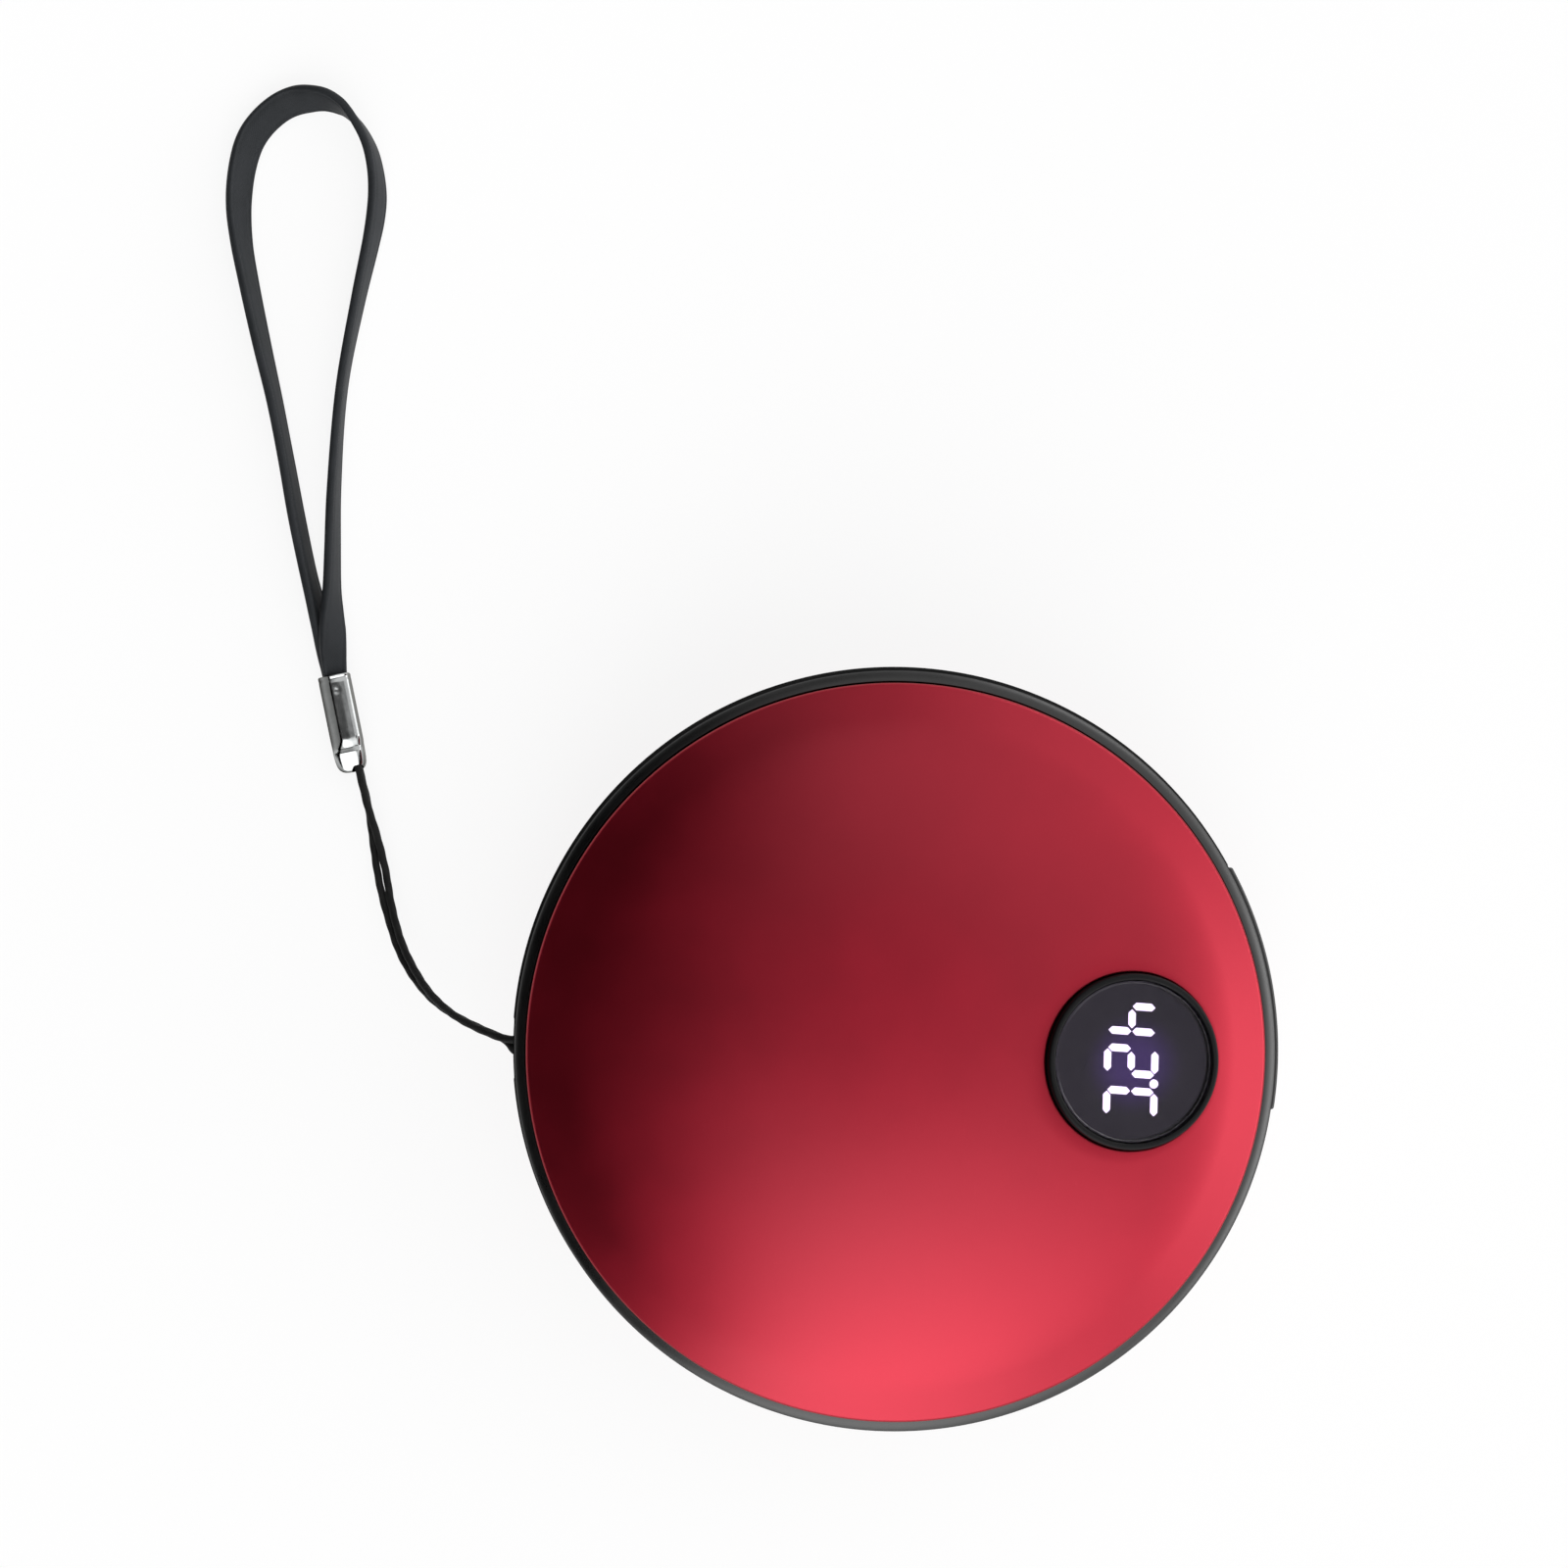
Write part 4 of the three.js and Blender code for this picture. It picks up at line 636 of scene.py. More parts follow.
def front_dome():
    down = WINDOW.to_3x3() @ Vector((0, 0, -1))
    lip = []
    for i in range(5):
        turn = i / 4 * pi / 2
        distance = WINDOW_HOLE + HOLE_LIP * (1 - sin(turn))
        depth = HOLE_LIP * (1 - cos(turn))
        ring = []
        for k in range(AROUND):
            ring.append(on_dome(TURN * k / AROUND, distance, SHELL_RADIUS, DOME_HEIGHT) + down * depth)
        lip.append(ring)
    edge = dome_edge(DOME_HEIGHT)
    outside = dome_rings(
        SHELL_RADIUS, DOME_HEIGHT, WINDOW_HOLE + HOLE_LIP, 48, edge[0][0],
        lambda r: dome_rise(r, DOME_HEIGHT))
    inner_radius, inner_height = SHELL_RADIUS - SHELL_WALL, DOME_HEIGHT - SHELL_WALL
    inside = dome_rings(
        inner_radius, inner_height, WINDOW_HOLE, 20, inner_radius,
        lambda r: ellipse_rise(r, inner_radius, inner_height))
    wall = [level_ring(r, RIM_TOP + rise) for r, rise in edge[1:]]
    foot = [level_ring(r, RIM_TOP - depth) for r, depth in skirt()]
    loops = [*lip[::-1], *outside[1:], *wall, *foot, *inside[::-1]]
    return solid("front_dome", skin(loops, wrap=True))


def rear_dome():
    """The front dome's shell without a window, and with a flat to rest on."""
    edge = dome_edge(REAR_SEMI_HEIGHT)
    steps, inner_steps = 48, 24
    flat = acos(REST_RADIUS / SHELL_RADIUS)
    last = acos(edge[0][0] / SHELL_RADIUS)
    profile = [(REST_RADIUS * i / 15, 0) for i in (0, 5, 10, 14)]
    for i in range(steps):
        r = SHELL_RADIUS * cos(flat + (last - flat) * i / steps)
        profile.append((r, max(RIM_BOTTOM - dome_rise(r, REAR_SEMI_HEIGHT), 0.0)))
    profile += [(r, RIM_BOTTOM - rise) for r, rise in edge]
    profile += [(r, RIM_BOTTOM + depth) for r, depth in skirt()]
    inner_radius, inner_height = SHELL_RADIUS - SHELL_WALL, REAR_SEMI_HEIGHT - SHELL_WALL
    inner_flat = asin((DOME_HEIGHT - SHELL_WALL) / inner_height)
    for i in range(inner_steps + 1):
        angle = inner_flat * i / inner_steps
        profile.append((inner_radius * cos(angle), RIM_BOTTOM - inner_height * sin(angle)))
    profile.append((0, SHELL_WALL))
    return solid("rear_dome", lathe(profile))


dress(front_dome(), "red_metal", "front_shell")
dress(rear_dome(), "red_metal", "rear_shell")


# Rim halves

def rim_profile(upper):
    """A ring whose shoulder slopes away more and more from the groove to its outer edge."""
    seam = RIM_MIDDLE + SEAM_HALF
    profile = [(RIM_INNER, seam), (BODY_RADIUS - 0.16, seam),
               (BODY_RADIUS - 0.05, seam + 0.05), (BODY_RADIUS, seam + 0.16)]
    steps = 12
    shoulder = []
    for i in range(steps + 1):
        tilt = SHOULDER_FROM + (SHOULDER_TO - SHOULDER_FROM) * i / steps
        out = SHOULDER_RADIUS * (sin(tilt) - sin(SHOULDER_FROM))
        down = SHOULDER_RADIUS * (cos(SHOULDER_FROM) - cos(tilt))
        shoulder.append((GROOVE_OUTER + 0.06 + out, RIM_TOP - down))
    edge_r, edge_z = shoulder[-1]
    profile += [(edge_r + 0.09, edge_z - 0.2), (edge_r + 0.05, edge_z - 0.07)]
    profile += shoulder[::-1]
    profile += [(GROOVE_OUTER + 0.01, RIM_TOP - 0.04), (GROOVE_OUTER, RIM_TOP - 0.1),
                (GROOVE_OUTER, RIM_TOP - GROOVE_DEPTH), (GROOVE_INNER, RIM_TOP - GROOVE_DEPTH),
                (GROOVE_INNER, RIM_TOP), (RIM_INNER, RIM_TOP)]
    return profile if upper else [(r, 2 * RIM_MIDDLE - z) for r, z in profile][::-1]


def sector(inner, outer, start, stop, steps=24):
    """Outline of a piece of a ring, between two angles in degrees."""
    angles = [radians(start + (stop - start) * i / steps) for i in range(steps + 1)]
    return [polar(outer, a) for a in angles] + [polar(inner, a) for a in angles[::-1]]


def about(middle, half):
    return middle - half, middle + half


def rim_half(upper):
    """Half of the rim, with screw bosses, webs and the lanyard's lug inside, and its openings."""
    seam = RIM_MIDDLE + (SEAM_HALF if upper else -SEAM_HALF)

    def span(low, high):
        return (seam, high) if upper else (low, seam)

    half = solid("front_rim_ring" if upper else "rear_rim_ring", lathe(rim_profile(upper)))
    for turn in BOSS_TURNS:
        boss = post(BOSS_RADIUS, span(BOSS_BOTTOM, BOSS_TOP), BOSS_AT)
        web = box((BOSS_AT, RIB_REACH), (-WEB_HALF, WEB_HALF), span(RIM_BOTTOM, RIM_TOP))
        combine(half, "UNION", boss, web, place=turn)
    combine(half, "UNION", box((-RIB_REACH, -LUG_INNER), (-LUG_HALF, LUG_HALF), span(LUG_BOTTOM, LUG_TOP)))
    for turn in BOSS_TURNS:
        hole = post(SCREW_HOLE, (0, SCREW_END), BOSS_AT)
        combine(half, "DIFFERENCE", hole, place=turn)
    seat = sector(SEAT_INNER, CUT_TO, PANEL_FROM - SEAT_PLAY, PANEL_TO + SEAT_PLAY)
    combine(half, "DIFFERENCE", prism(seat, *about(RIM_MIDDLE, SEAT_HALF)))
    for port in (USB_A, CHARGE):
        sides = about(port.across, port.width / 2 + SOCKET_PLAY)
        opening = box((CUT_FROM, CUT_TO), sides, about(RIM_MIDDLE, OPENING_HALF))
        combine(half, "DIFFERENCE", opening, place=PORTS)
    level = Matrix.Translation((0, 0, RIM_MIDDLE))
    slot = prism(button_outline(-BUTTON_PLAY), CUT_FROM, CUT_TO)
    combine(half, "DIFFERENCE", slot, place=level @ Matrix.Rotation(pi / 2, 4, "X"))
    pocket = prism(rectangle(POCKET_HEIGHT, POCKET_WIDTH, POCKET_CORNER), -CUT_TO, -POCKET_FLOOR)
    combine(half, "DIFFERENCE", pocket, place=level @ LYING)
    combine(half, "DIFFERENCE", post(PIN_HOLE, about(RIM_MIDDLE, PIN_HOLE_HALF), PIN_X, sides=32))
    return half


def button_outline(inset):
    return rectangle(BUTTON_WIDTH, BUTTON_HEIGHT, BUTTON_HEIGHT / 2, 10, inset)


for upper, node in ((True, "front_rim"), (False, "rear_rim")):
    rim = mark(rim_half(upper), "wall", lambda at: 1.0 if abs(at.z - RIM_MIDDLE) < WALL_HALF else 0.0)
    dress(rim, "black_plastic", node)


# Port panel and sockets

def socket_place(port):
    return PORTS @ Matrix.Translation((0, port.across, port.middle)) @ LYING


def port_panel():
    """A strip round the rim's side with softened edges and the mouths of the two sockets."""
    arc = radians(PANEL_TO - PANEL_FROM)
    length = PANEL_OUTER * arc
    steps = 60
    ends = [distance / length for distance in (0, 0.03, 0.08, 0.15, 0.22)]
    loops = []
    for share in ends + [i / steps for i in range(1, steps)] + [1 - end for end in ends[::-1]]:
        angle = radians(PANEL_FROM) + arc * share
        into_round = max(0.0, PANEL_ROUND - min(share, 1 - share) * length)
        outer = PANEL_OUTER - PANEL_ROUND + sqrt(max(0.0, PANEL_ROUND**2 - into_round**2))
        section = rounded([
            (PANEL_INNER, -PANEL_HALF, 0), (outer, -PANEL_HALF, PANEL_ROUND),
            (outer, PANEL_HALF, PANEL_ROUND), (PANEL_INNER, PANEL_HALF, 0)])
        loops.append([(*polar(r, angle), RIM_MIDDLE + z) for r, z in section])
    panel = solid("port_panel_plate", skin(loops, caps=True))
    for port in (USB_A, CHARGE):
        outline = rectangle(port.height, port.width, port.corner, 8, port.wall)
        combine(panel, "DIFFERENCE", prism(outline, CUT_FROM, CUT_TO), place=socket_place(port))
    return panel


def socket_shell(name, port):
    """A drawn metal sleeve, closed at its back, with a rolled mouth."""
    back, mouth, wall = port.mouth - port.depth, port.mouth, port.wall
    loops = []
    for inset, z in ((0.1, back), (0, back + 0.1), (0, mouth - 0.12), (0.12, mouth), (wall - 0.06, mouth),
                     (wall, mouth - 0.2), (wall, back + wall)):
        outline = rectangle(port.height, port.width, port.corner, 8, inset)
        loops.append([(x, y, z) for x, y in outline])
    return solid(name, skin(loops, caps=True), socket_place(port))


def tongue_back(port):
    return port.mouth - port.depth + port.wall + SOCKET_PLAY


def tongue(name, port):
    """The tongue of a socket, on a block that fills the sleeve's back."""
    back, block = tongue_back(port), port.block
    front = port.mouth - port.tongue_short
    outline = rectangle(port.height, port.width, port.height / 2, 8, port.wall + SOCKET_PLAY)
    made = solid(name, prism(outline, back, back + block), socket_place(port))
    loops = []
    for inset, z in ((0, back + block / 2), (0, front - 0.2), (0.12, front)):
        outline = rectangle(port.tongue_height - 2 * inset, port.tongue_width - 2 * inset, 0.12, 3)
        loops.append([(x, y, z) for x, y in outline])
    return combine(made, "UNION", skin(loops, caps=True), place=socket_place(port))


def contacts(name, port):
    """Thin springy strips along the upper side of a socket's tongue, each with a rounded tip."""
    back = tongue_back(port) + port.block + 0.1
    front = port.mouth - port.contact_short
    face = port.tongue_height / 2 - CONTACT_SINK
    stations = [(back, 0, 0.03), (front - 0.9, 0, 0.03), (front - 0.6, 0, 0.09), (front - 0.3, 0.08, 0.11),
                (front - 0.1, 0.24, 0.08), (front, 0.5, 0.02)]
    strips = []
    for spot in port.contacts:
        loops = []
        for z, narrow, lift in stations:
            half = port.contact_width / 2 * (1 - narrow)
            side = [(-face, -half), (-face - lift * 0.7, -half), (-face - lift, 0.06 - half)]
            outline = side + [(x, -y) for x, y in side[::-1]]
            loops.append([(x, spot + y, z) for x, y in outline])
        strips.append(skin(loops, caps=True))
    return solid(name, joined(*strips), socket_place(port))


dress(port_panel(), "black_plastic", "port_panel")
dress(socket_shell("usb_a_sleeve", USB_A), "steel", "usb_a_shell")
dress(socket_shell("charge_sleeve", CHARGE), "steel", "charge_port_shell")
dress(tongue("usb_a_blade", USB_A), "white_plastic", "usb_a_tongue")
dress(contacts("usb_a_contacts", USB_A), "steel", look="contact")
dress(contacts("charge_contacts", CHARGE), "steel", look="contact")
dress(tongue("charge_blade", CHARGE), "black_part", "charge_port_tongue")


# Power button

def button():
    """A long cap whose face follows the rim's round, with a flange behind the wall."""
    face = [(1.25, 0), (0.8, 0), (0.35, 0.01), (0.2, 0.04), (0.09, 0.11), (0.02, 0.21), (0, 0.35)]
    loops = []
    for inset, sink in face:
        outline = button_outline(inset)
        loops.append([(x, sink - sqrt(BUTTON_FACE**2 - x**2), RIM_MIDDLE + z) for x, z in outline])
    for grow, y in ((0, -FLANGE_FRONT), (FLANGE_REACH, -FLANGE_FRONT), (FLANGE_REACH, -FLANGE_BACK)):
        loops.append([(x, y, RIM_MIDDLE + z) for x, z in button_outline(-grow)])
    return solid("button_cap", skin(loops, caps=True))


dress(button(), "black_plastic", "power_button", body="button")


# Temperature window

def bezel():
    seat_radius, seat = FACE_RADIUS + FACE_PLAY, FACE_BOTTOM - FACE_PLAY
    profile = rounded([
        (BEZEL_BORE, FOOT_BOTTOM, 0), (BEZEL_FOOT, FOOT_BOTTOM, 0.1), (BEZEL_FOOT, FOOT_TOP, 0.1),
        (BEZEL_RADIUS, FOOT_TOP, 0), (BEZEL_RADIUS, BEZEL_TOP, 0.3), (BEZEL_MOUTH, BEZEL_TOP, 0.18),
        (BEZEL_MOUTH, FACE_TOP, 0), (seat_radius, FACE_TOP, 0), (seat_radius, seat, 0),
        (BEZEL_BORE, seat, 0)], 6)
    return solid("window_bezel", lathe(profile, sides=160), WINDOW)


def lens():
    edge = LENS_RADIUS - LENS_ROUND
    shoulder = LENS_TOP - LENS_SAG - LENS_ROUND
    round_steps, top_steps = 8, 16
    profile = [(0, LENS_BOTTOM), (LENS_RADIUS - 0.1, LENS_BOTTOM), (LENS_RADIUS, LENS_BOTTOM + 0.08),
               (LENS_RADIUS, shoulder)]
    for i in range(1, round_steps + 1):
        angle = i / round_steps * radians(86)
        profile.append((edge + LENS_ROUND * cos(angle), shoulder + LENS_ROUND * sin(angle)))
    for i in range(top_steps + 1):
        r = edge * (1 - i / top_steps)
        profile.append((r, LENS_TOP - LENS_SAG * (r / edge) ** 2))
    return solid("window_lens", lathe(profile, sides=160), WINDOW)


# Lit bars: how far up and left of a figure's middle, half their length along it, and half across it
BAR_HALF = 0.37
SIDE_HALF = 1.17
END_BAR, MIDDLE_BAR = 1.12, 0.94
UP, LEFT = 2.5, 1.27
SEGMENTS = {
    "a": (UP, 0, BAR_HALF, END_BAR), "g": (0, 0, BAR_HALF, MIDDLE_BAR), "d": (-UP, 0, BAR_HALF, END_BAR),
    "f": (UP / 2, LEFT, SIDE_HALF, BAR_HALF), "b": (UP / 2, -LEFT, SIDE_HALF, BAR_HALF),
    "e": (-UP / 2, LEFT, SIDE_HALF, BAR_HALF), "c": (-UP / 2, -LEFT, SIDE_HALF, BAR_HALF),
}
FIGURES = (("fgbc", 4.3), ("abged", 0.0), ("afed", -4.3))
BAR_CHAMFER = 0.36
BAR_PLAY = 0.03
SLANT = tan(radians(3.4))
DOT_X, DOT_Y, DOT_RADIUS = 2.45, -2.3, 0.45


def figure_outlines(grow):
    """Outlines of the lit bars: two digits, a degree dot and a letter. Their tops point along +X."""
    chamfer = BAR_CHAMFER + grow * (2 - sqrt(2))
    outlines = []
    for letters, middle in FIGURES:
        for letter in letters:
            x, y, along, across = SEGMENTS[letter]
            along += grow
            across += grow
            outline = []
            for sx, sy in ((along, -across), (along, across), (-along, across), (-along, -across)):
                first = (sx, sy - copysign(chamfer, sy))
                second = (sx - copysign(chamfer, sx), sy)
                outline += [first, second] if sx * sy > 0 else [second, first]
            outlines.append([(x + px, middle + y + py - SLANT * (x + px)) for px, py in outline])
    return [*outlines, circle(DOT_RADIUS + grow, DOT_X, DOT_Y, 20)]


def window_face():
    """The dark face behind the lens, slightly crowned, with a window for each lit bar."""
    steps = 16
    rings = [FACE_RADIUS * (1 - i / steps) for i in range(steps + 1)]
    profile = [(r, FACE_BOTTOM + FACE_CROWN * (r / FACE_RADIUS) ** 2) for r in rings[::-1]]
    profile += [(r, FACE_TOP - FACE_CROWN * (r / FACE_RADIUS) ** 2) for r in rings]
    face = solid("window_face", lathe(profile, sides=130), WINDOW)
    windows = [prism(o, FACE_BOTTOM - 0.3, FACE_TOP + 0.3) for o in figure_outlines(BAR_PLAY)]
    return combine(face, "DIFFERENCE", *windows, place=WINDOW)


def figures():
    """A round light guide, with a bar up through each window of the face."""
    profile = [(0, GUIDE_BOTTOM), (GUIDE_RADIUS, GUIDE_BOTTOM), (GUIDE_RADIUS, GUIDE_TOP), (0, GUIDE_TOP)]
    made = solid("window_figures", lathe(profile, sides=96), WINDOW)
    root = (GUIDE_BOTTOM + GUIDE_TOP) / 2
    bars = joined(*[prism(o, root, FACE_TOP) for o in figure_outlines(0.0)])
    return combine(made, "UNION", bars, place=WINDOW)


dress(bezel(), "black_plastic", "display_bezel", look="matt_black")
dress(lens(), "smoked_lens", "display_lens")
dress(window_face(), "black_part", "display_mask", look="lit_face")
dress(figures(), "lit_figures", "display_segments")


# Lanyard

# Route of the cord's pair: x, y, share of the way up to the rim's middle, and turn of the pair in degrees
CORD_ROUTE = [
    (-42.5, 1.45, 0.89, 90), (-44.2, 2.1, 0.795, 90), (-46, 2.9, 0.685, 86), (-47.8, 3.95, 0.55, 76),
    (-49.5, 5.3, 0.42, 64), (-51.5, 7.7, 0.25, 48), (-52.9, 10.2, 0.145, 42), (-53.8, 12.7, 0.075, 40),
    (-54.5, 15.2, 0.03, 26), (-55, 17.7, 0.01, 0), (-55.5, 20.3, 0, 30), (-56, 22.8, 0, 60),
    (-56.6, 25.4, 0, 88), (-57.2, 27.9, 0, 90), (-57.6, 29.6, 0, 90), (-57.95, 31.3, 0, 90),
]
CORD_LOW = 1.9
CORD_INWARD = [(-40.75, 0.95, 15.45), (-39.5, 0.95, 15.85)]
CORD_OUTWARD = [(-39.0, -0.8, 15.0), (-39.9, -0.25, 14.85), (-40.45, 0.4, 14.7), (-41.25, 1.0, 14.25)]
HITCH_TURNS = [115, 80, 40, 0, -40, -80, -120]

# Route of the strap: x, y, z and lean of its face in degrees
STRAP_ROUTE = [
    (-59.72, 36.45, 1.3, 0), (-60.3, 39.5, 1.3, 4), (-61.25, 43.6, 1.6, 48), (-61.95, 46.3, 1.85, 66),
    (-62.9, 50, 1.95, 75), (-64.25, 56.4, 1.95, 73), (-65.4, 62.7, 1.95, 77), (-66.65, 69.1, 1.95, 77),
    (-68.1, 75.5, 1.95, 70), (-69.45, 81.9, 1.95, 66), (-70.3, 86.6, 1.9, 61), (-70.6, 90.7, 1.75, 46),
    (-70.2, 94.6, 1.7, 41), (-69.4, 97.4, 1.5, 31), (-68.2, 99.3, 1.3, 21), (-66.3, 101, 1.3, 20),
    (-64.6, 101.8, 1.35, 24), (-62.9, 102, 1.7, 42), (-61.2, 101.85, 1.9, 59), (-59.5, 101.1, 1.95, 77),
    (-58.65, 100.4, 1.95, 86), (-57.75, 99.3, 1.95, 94), (-56.85, 97.8, 1.95, 98), (-56.2, 96.2, 1.95, 102),
    (-55.7, 93.8, 1.95, 106), (-55.55, 91.4, 1.95, 111), (-55.75, 89.1, 1.95, 111), (-56.2, 86.6, 1.95, 107),
    (-57.6, 80.3, 1.95, 99), (-59.4, 70.7, 1.9, 92), (-60.25, 59.6, 1.95, 99), (-60.4, 53.2, 1.95, 104),
    (-60.45, 49, 2.05, 108), (-60.42, 46.6, 2.3, 122), (-60.35, 44.4, 2.55, 138), (-60.25, 41.8, 2.6, 160),
    (-60.07, 39.53, 2.4, 176), (-59.55, 36.48, 2.3, 180),
]


def strand(side):
    """One strand of the cord's pair, from the rim to the crimp."""
    middle = [Vector((x, y, CORD_LOW + share * (RIM_MIDDLE - CORD_LOW))) for x, y, share, _ in CORD_ROUTE]
    ways = tangents(spline(middle, 20))[::20]
    points = []
    for place, way, (_, _, _, turn) in zip(middle, ways, CORD_ROUTE):
        across = Vector((-way.y, way.x, 0)).normalized()
        up = way.cross(across)
        turn = radians(turn)
        points.append(place + (up * sin(turn) - across * cos(turn)) * side * PAIR_SPREAD)
    return points


def cord_line():
    hitch = []
    for i, turn in enumerate(HITCH_TURNS):
        angle = radians(turn)
        z = RIM_MIDDLE + PAIR_SPREAD * (1 - 2 * i / (len(HITCH_TURNS) - 1))
        hitch.append((PIN_X + WRAP_RADIUS * cos(angle), WRAP_RADIUS * sin(angle), z))
    route = [*strand(1)[::-1], *CORD_INWARD, *hitch, *CORD_OUTWARD, *strand(-1)]
    return evenly(spline(route, 16), CORD_RINGS)


def cord(line):
    """A laid cord of three twisted strands."""
    sides, strands = 18, 3
    spacing = CORD_LENGTH / MM / CORD_RINGS
    side = Vector((0, 0, 1))
    loops = []
    for i, (point, way) in enumerate(zip(line, tangents(line))):
        side = (side - way * side.dot(way)).normalized()
        other = way.cross(side)
        loop = []
        for k in range(sides):
            angle = TURN * k / sides
            radius = CORD_RADIUS * (0.95 + 0.05 * sin(strands * angle + TURN * i * spacing / CORD_PITCH))
            loop.append(point + (side * cos(angle) + other * sin(angle)) * radius)
        loops.append(loop)
    return solid("cord_pair", skin(loops, caps=True))


def strap_frames():
    steps = 10
    line = spline([p[:3] for p in STRAP_ROUTE], steps)
    last = len(STRAP_ROUTE) - 1
    leans = []
    for i in range(len(line)):
        before = min(i // steps, last - 1)
        share = i / steps - before
        leans.append((1 - share) * STRAP_ROUTE[before][3] + share * STRAP_ROUTE[before + 1][3])
    reach = steps // 2
    frames = []
    for i, (point, way) in enumerate(zip(line, tangents(line))):
        near = leans[max(0, i - reach):i + reach + 1]
        lean = radians(sum(near) / len(near))
        inward = Vector((way.y, -way.x, 0)).normalized()
        up = inward.cross(way) * cos(lean) + inward * sin(lean)
        frames.append((point, up.cross(way), up, i / (len(line) - 1)))
    return frames


def strap(frames):
    """A flat woven band with rounded edges and a shallow line along each edge."""
    loops, along, across = [], [], []
    run = 0.0
    for i, (point, side, up, share) in enumerate(frames):
        run += (point - frames[i - 1][0]).length if i else 0.0
        taper = min(1.0, 12 * min(share, 1 - share))
        half = (STRAP_END_WIDTH + (STRAP_WIDTH - STRAP_END_WIDTH) * taper) / 2
        thick = STRAP_THICKNESS / 2
        edge = half - 0.34
        face = [(half, 0), (half - 0.05, 0.6 * thick), (edge + 0.16, 0.94 * thick), (edge, thick),
                (edge - 0.14, 0.86 * thick), (edge - 0.28, 0.98 * thick), (0.3 * half, thick)]
        outline = face + [(-s, r) for s, r in face[::-1]]
        outline += [(s, -r) for s, r in outline[::-1] if abs(r) > 0]
        loops.append([point + side * s + up * r for s, r in outline])
        along += [run] * len(outline)
        across += [s for s, _ in outline]
    made = solid("strap_band", skin(loops, caps=True))
    for name, values in (("along", along), ("across", across)):
        made.data.attributes.new(name, "FLOAT", "POINT").data.foreach_set("value", values)
    return made


def crimp_section(half, top, bevelled, count=84):
    """A ring of points across the clamp: upright walls and a crown between bevels, the left one broader.

    Where bevelled is 0 the crown is broad and its edges are only rounded over.
    """
    def blend(plain, full):
        return plain + (full - plain) * bevelled

    outline = rounded([
        (half, 0, 0.3),
        (blend(1, 0.97) * half, top - blend(0.6, 0.38), blend(0.3, 0.12)),
        (blend(0.86, 0.8) * half, top - blend(0.2, 0.16), blend(0.4, 0.3)),
        (blend(0.56, 0.2) * half, top, blend(0.5, 4.0)),
        (blend(-0.6, -0.2) * half, top, blend(0.5, 0.14)),
        (-half, top - blend(0.55, 1.3), blend(0.4, 0.35)),
        (-half, 0, 0.3)], 6)
    return evenly(outline + outline[:1], count)[:-1]


# The clamp's rounded cap and rolled mouth: distance along it, half width, top, and share of the bevels
CRIMP_CAP = [
    (0, 0.45, 2.0, 0), (0.05, 0.78, 2.17, 0), (0.18, 1.08, 2.31, 0), (0.4, 1.32, 2.46, 0),
    (0.7, 1.48, 2.6, 0), (1.0, 1.55, 2.72, 0), (1.4, 1.6, 2.88, 0), (1.8, 1.62, 3.04, 0),
    (2.1, 1.63, 3.14, 0), (2.25, 1.63, 3.16, 0),
    (2.38, 1.64, 3.12, 0.05), (2.5, 1.64, 3.05, 0.1), (2.6, 1.65, 3.02, 0.2), (2.72, 1.65, 3.04, 0.3),
    (2.9, 1.66, 3.1, 0.5), (3.15, 1.68, 3.19, 0.75), (3.4, 1.69, 3.26, 0.9),
]
CRIMP_MOUTH = [
    (9.98, 1.7, 3.28, 1), (10.1, 1.69, 3.22, 1), (10.25, 1.69, 3.19, 1), (10.4, 1.7, 3.22, 1),
    (10.52, 1.7, 3.29, 1), (10.63, 1.67, 3.28, 1), (CRIMP_LENGTH, 1.58, 3.18, 1),
]


def dimple(x, y, z):
    """How deep the dimple in the clamp's crown is at a point."""
    if z < 2.4:
        return 0.0
    return DIMPLE_DEPTH * exp(-((x - DIMPLE_X) ** 2 + (y - DIMPLE_Y) ** 2) / DIMPLE_SIZE**2)


def crimp():
    """A pressed metal clamp: open towards the strap, rounded over the cord, with a dimple in its crown."""
    even = [(3.7 + 0.15 * i, CRIMP_HALF, CRIMP_TOP, 1) for i in range(42)]
    rings = []
    for y, half, top, bevelled in CRIMP_CAP + even + CRIMP_MOUTH:
        rings.append([(x, y, z - dimple(x, y, z)) for x, z in crimp_section(half, top, bevelled)])
    for inset, y in ((0.2, CRIMP_LENGTH), (0.32, CRIMP_LENGTH - 0.1), (0.32, CRIMP_LENGTH - 4)):
        section = crimp_section(CRIMP_HALF - inset, CRIMP_TOP - 2 * inset, 1)
        rings.append([(x, y, z + inset) for x, z in section])
    made = solid("crimp_clamp", skin(rings, caps=True), CRIMP)
    eye = prism(rectangle(EYE_WIDTH, EYE_HEIGHT, EYE_CORNER, 6), -2, EYE_DEPTH)
    place = CRIMP @ Matrix.Translation((EYE_X, 0, EYE_Z)) @ Matrix.Rotation(-pi / 2, 4, "X")
    combine(made, "DIFFERENCE", eye, place=place)
    back = CRIMP.inverted()
    # Marks the painted shade on the clamp's walls, the foot of its bevels and its left bevel.
    return mark(made, "painted_shade", lambda at: crimp_painted_shade(*(back @ at)))


def crimp_painted_shade(x, y, z):
    """Painted shade: dark along the clamp's walls and the foot of its bevels, greyer on the left bevel, none
    on top.
    """
    line = 2.6 + 0.2 * min(1.0, max(0.0, (y - 2.2) / 0.5))
    painted_shade = min(1.0, max(0.0, (line - z) / 0.8))
    grey = 0.35 + 0.4 * min(1.0, max(0.0, (x + 1.4) / 1.05))
    return max(painted_shade, grey) if x < -0.3 and y > 2.7 else painted_shade


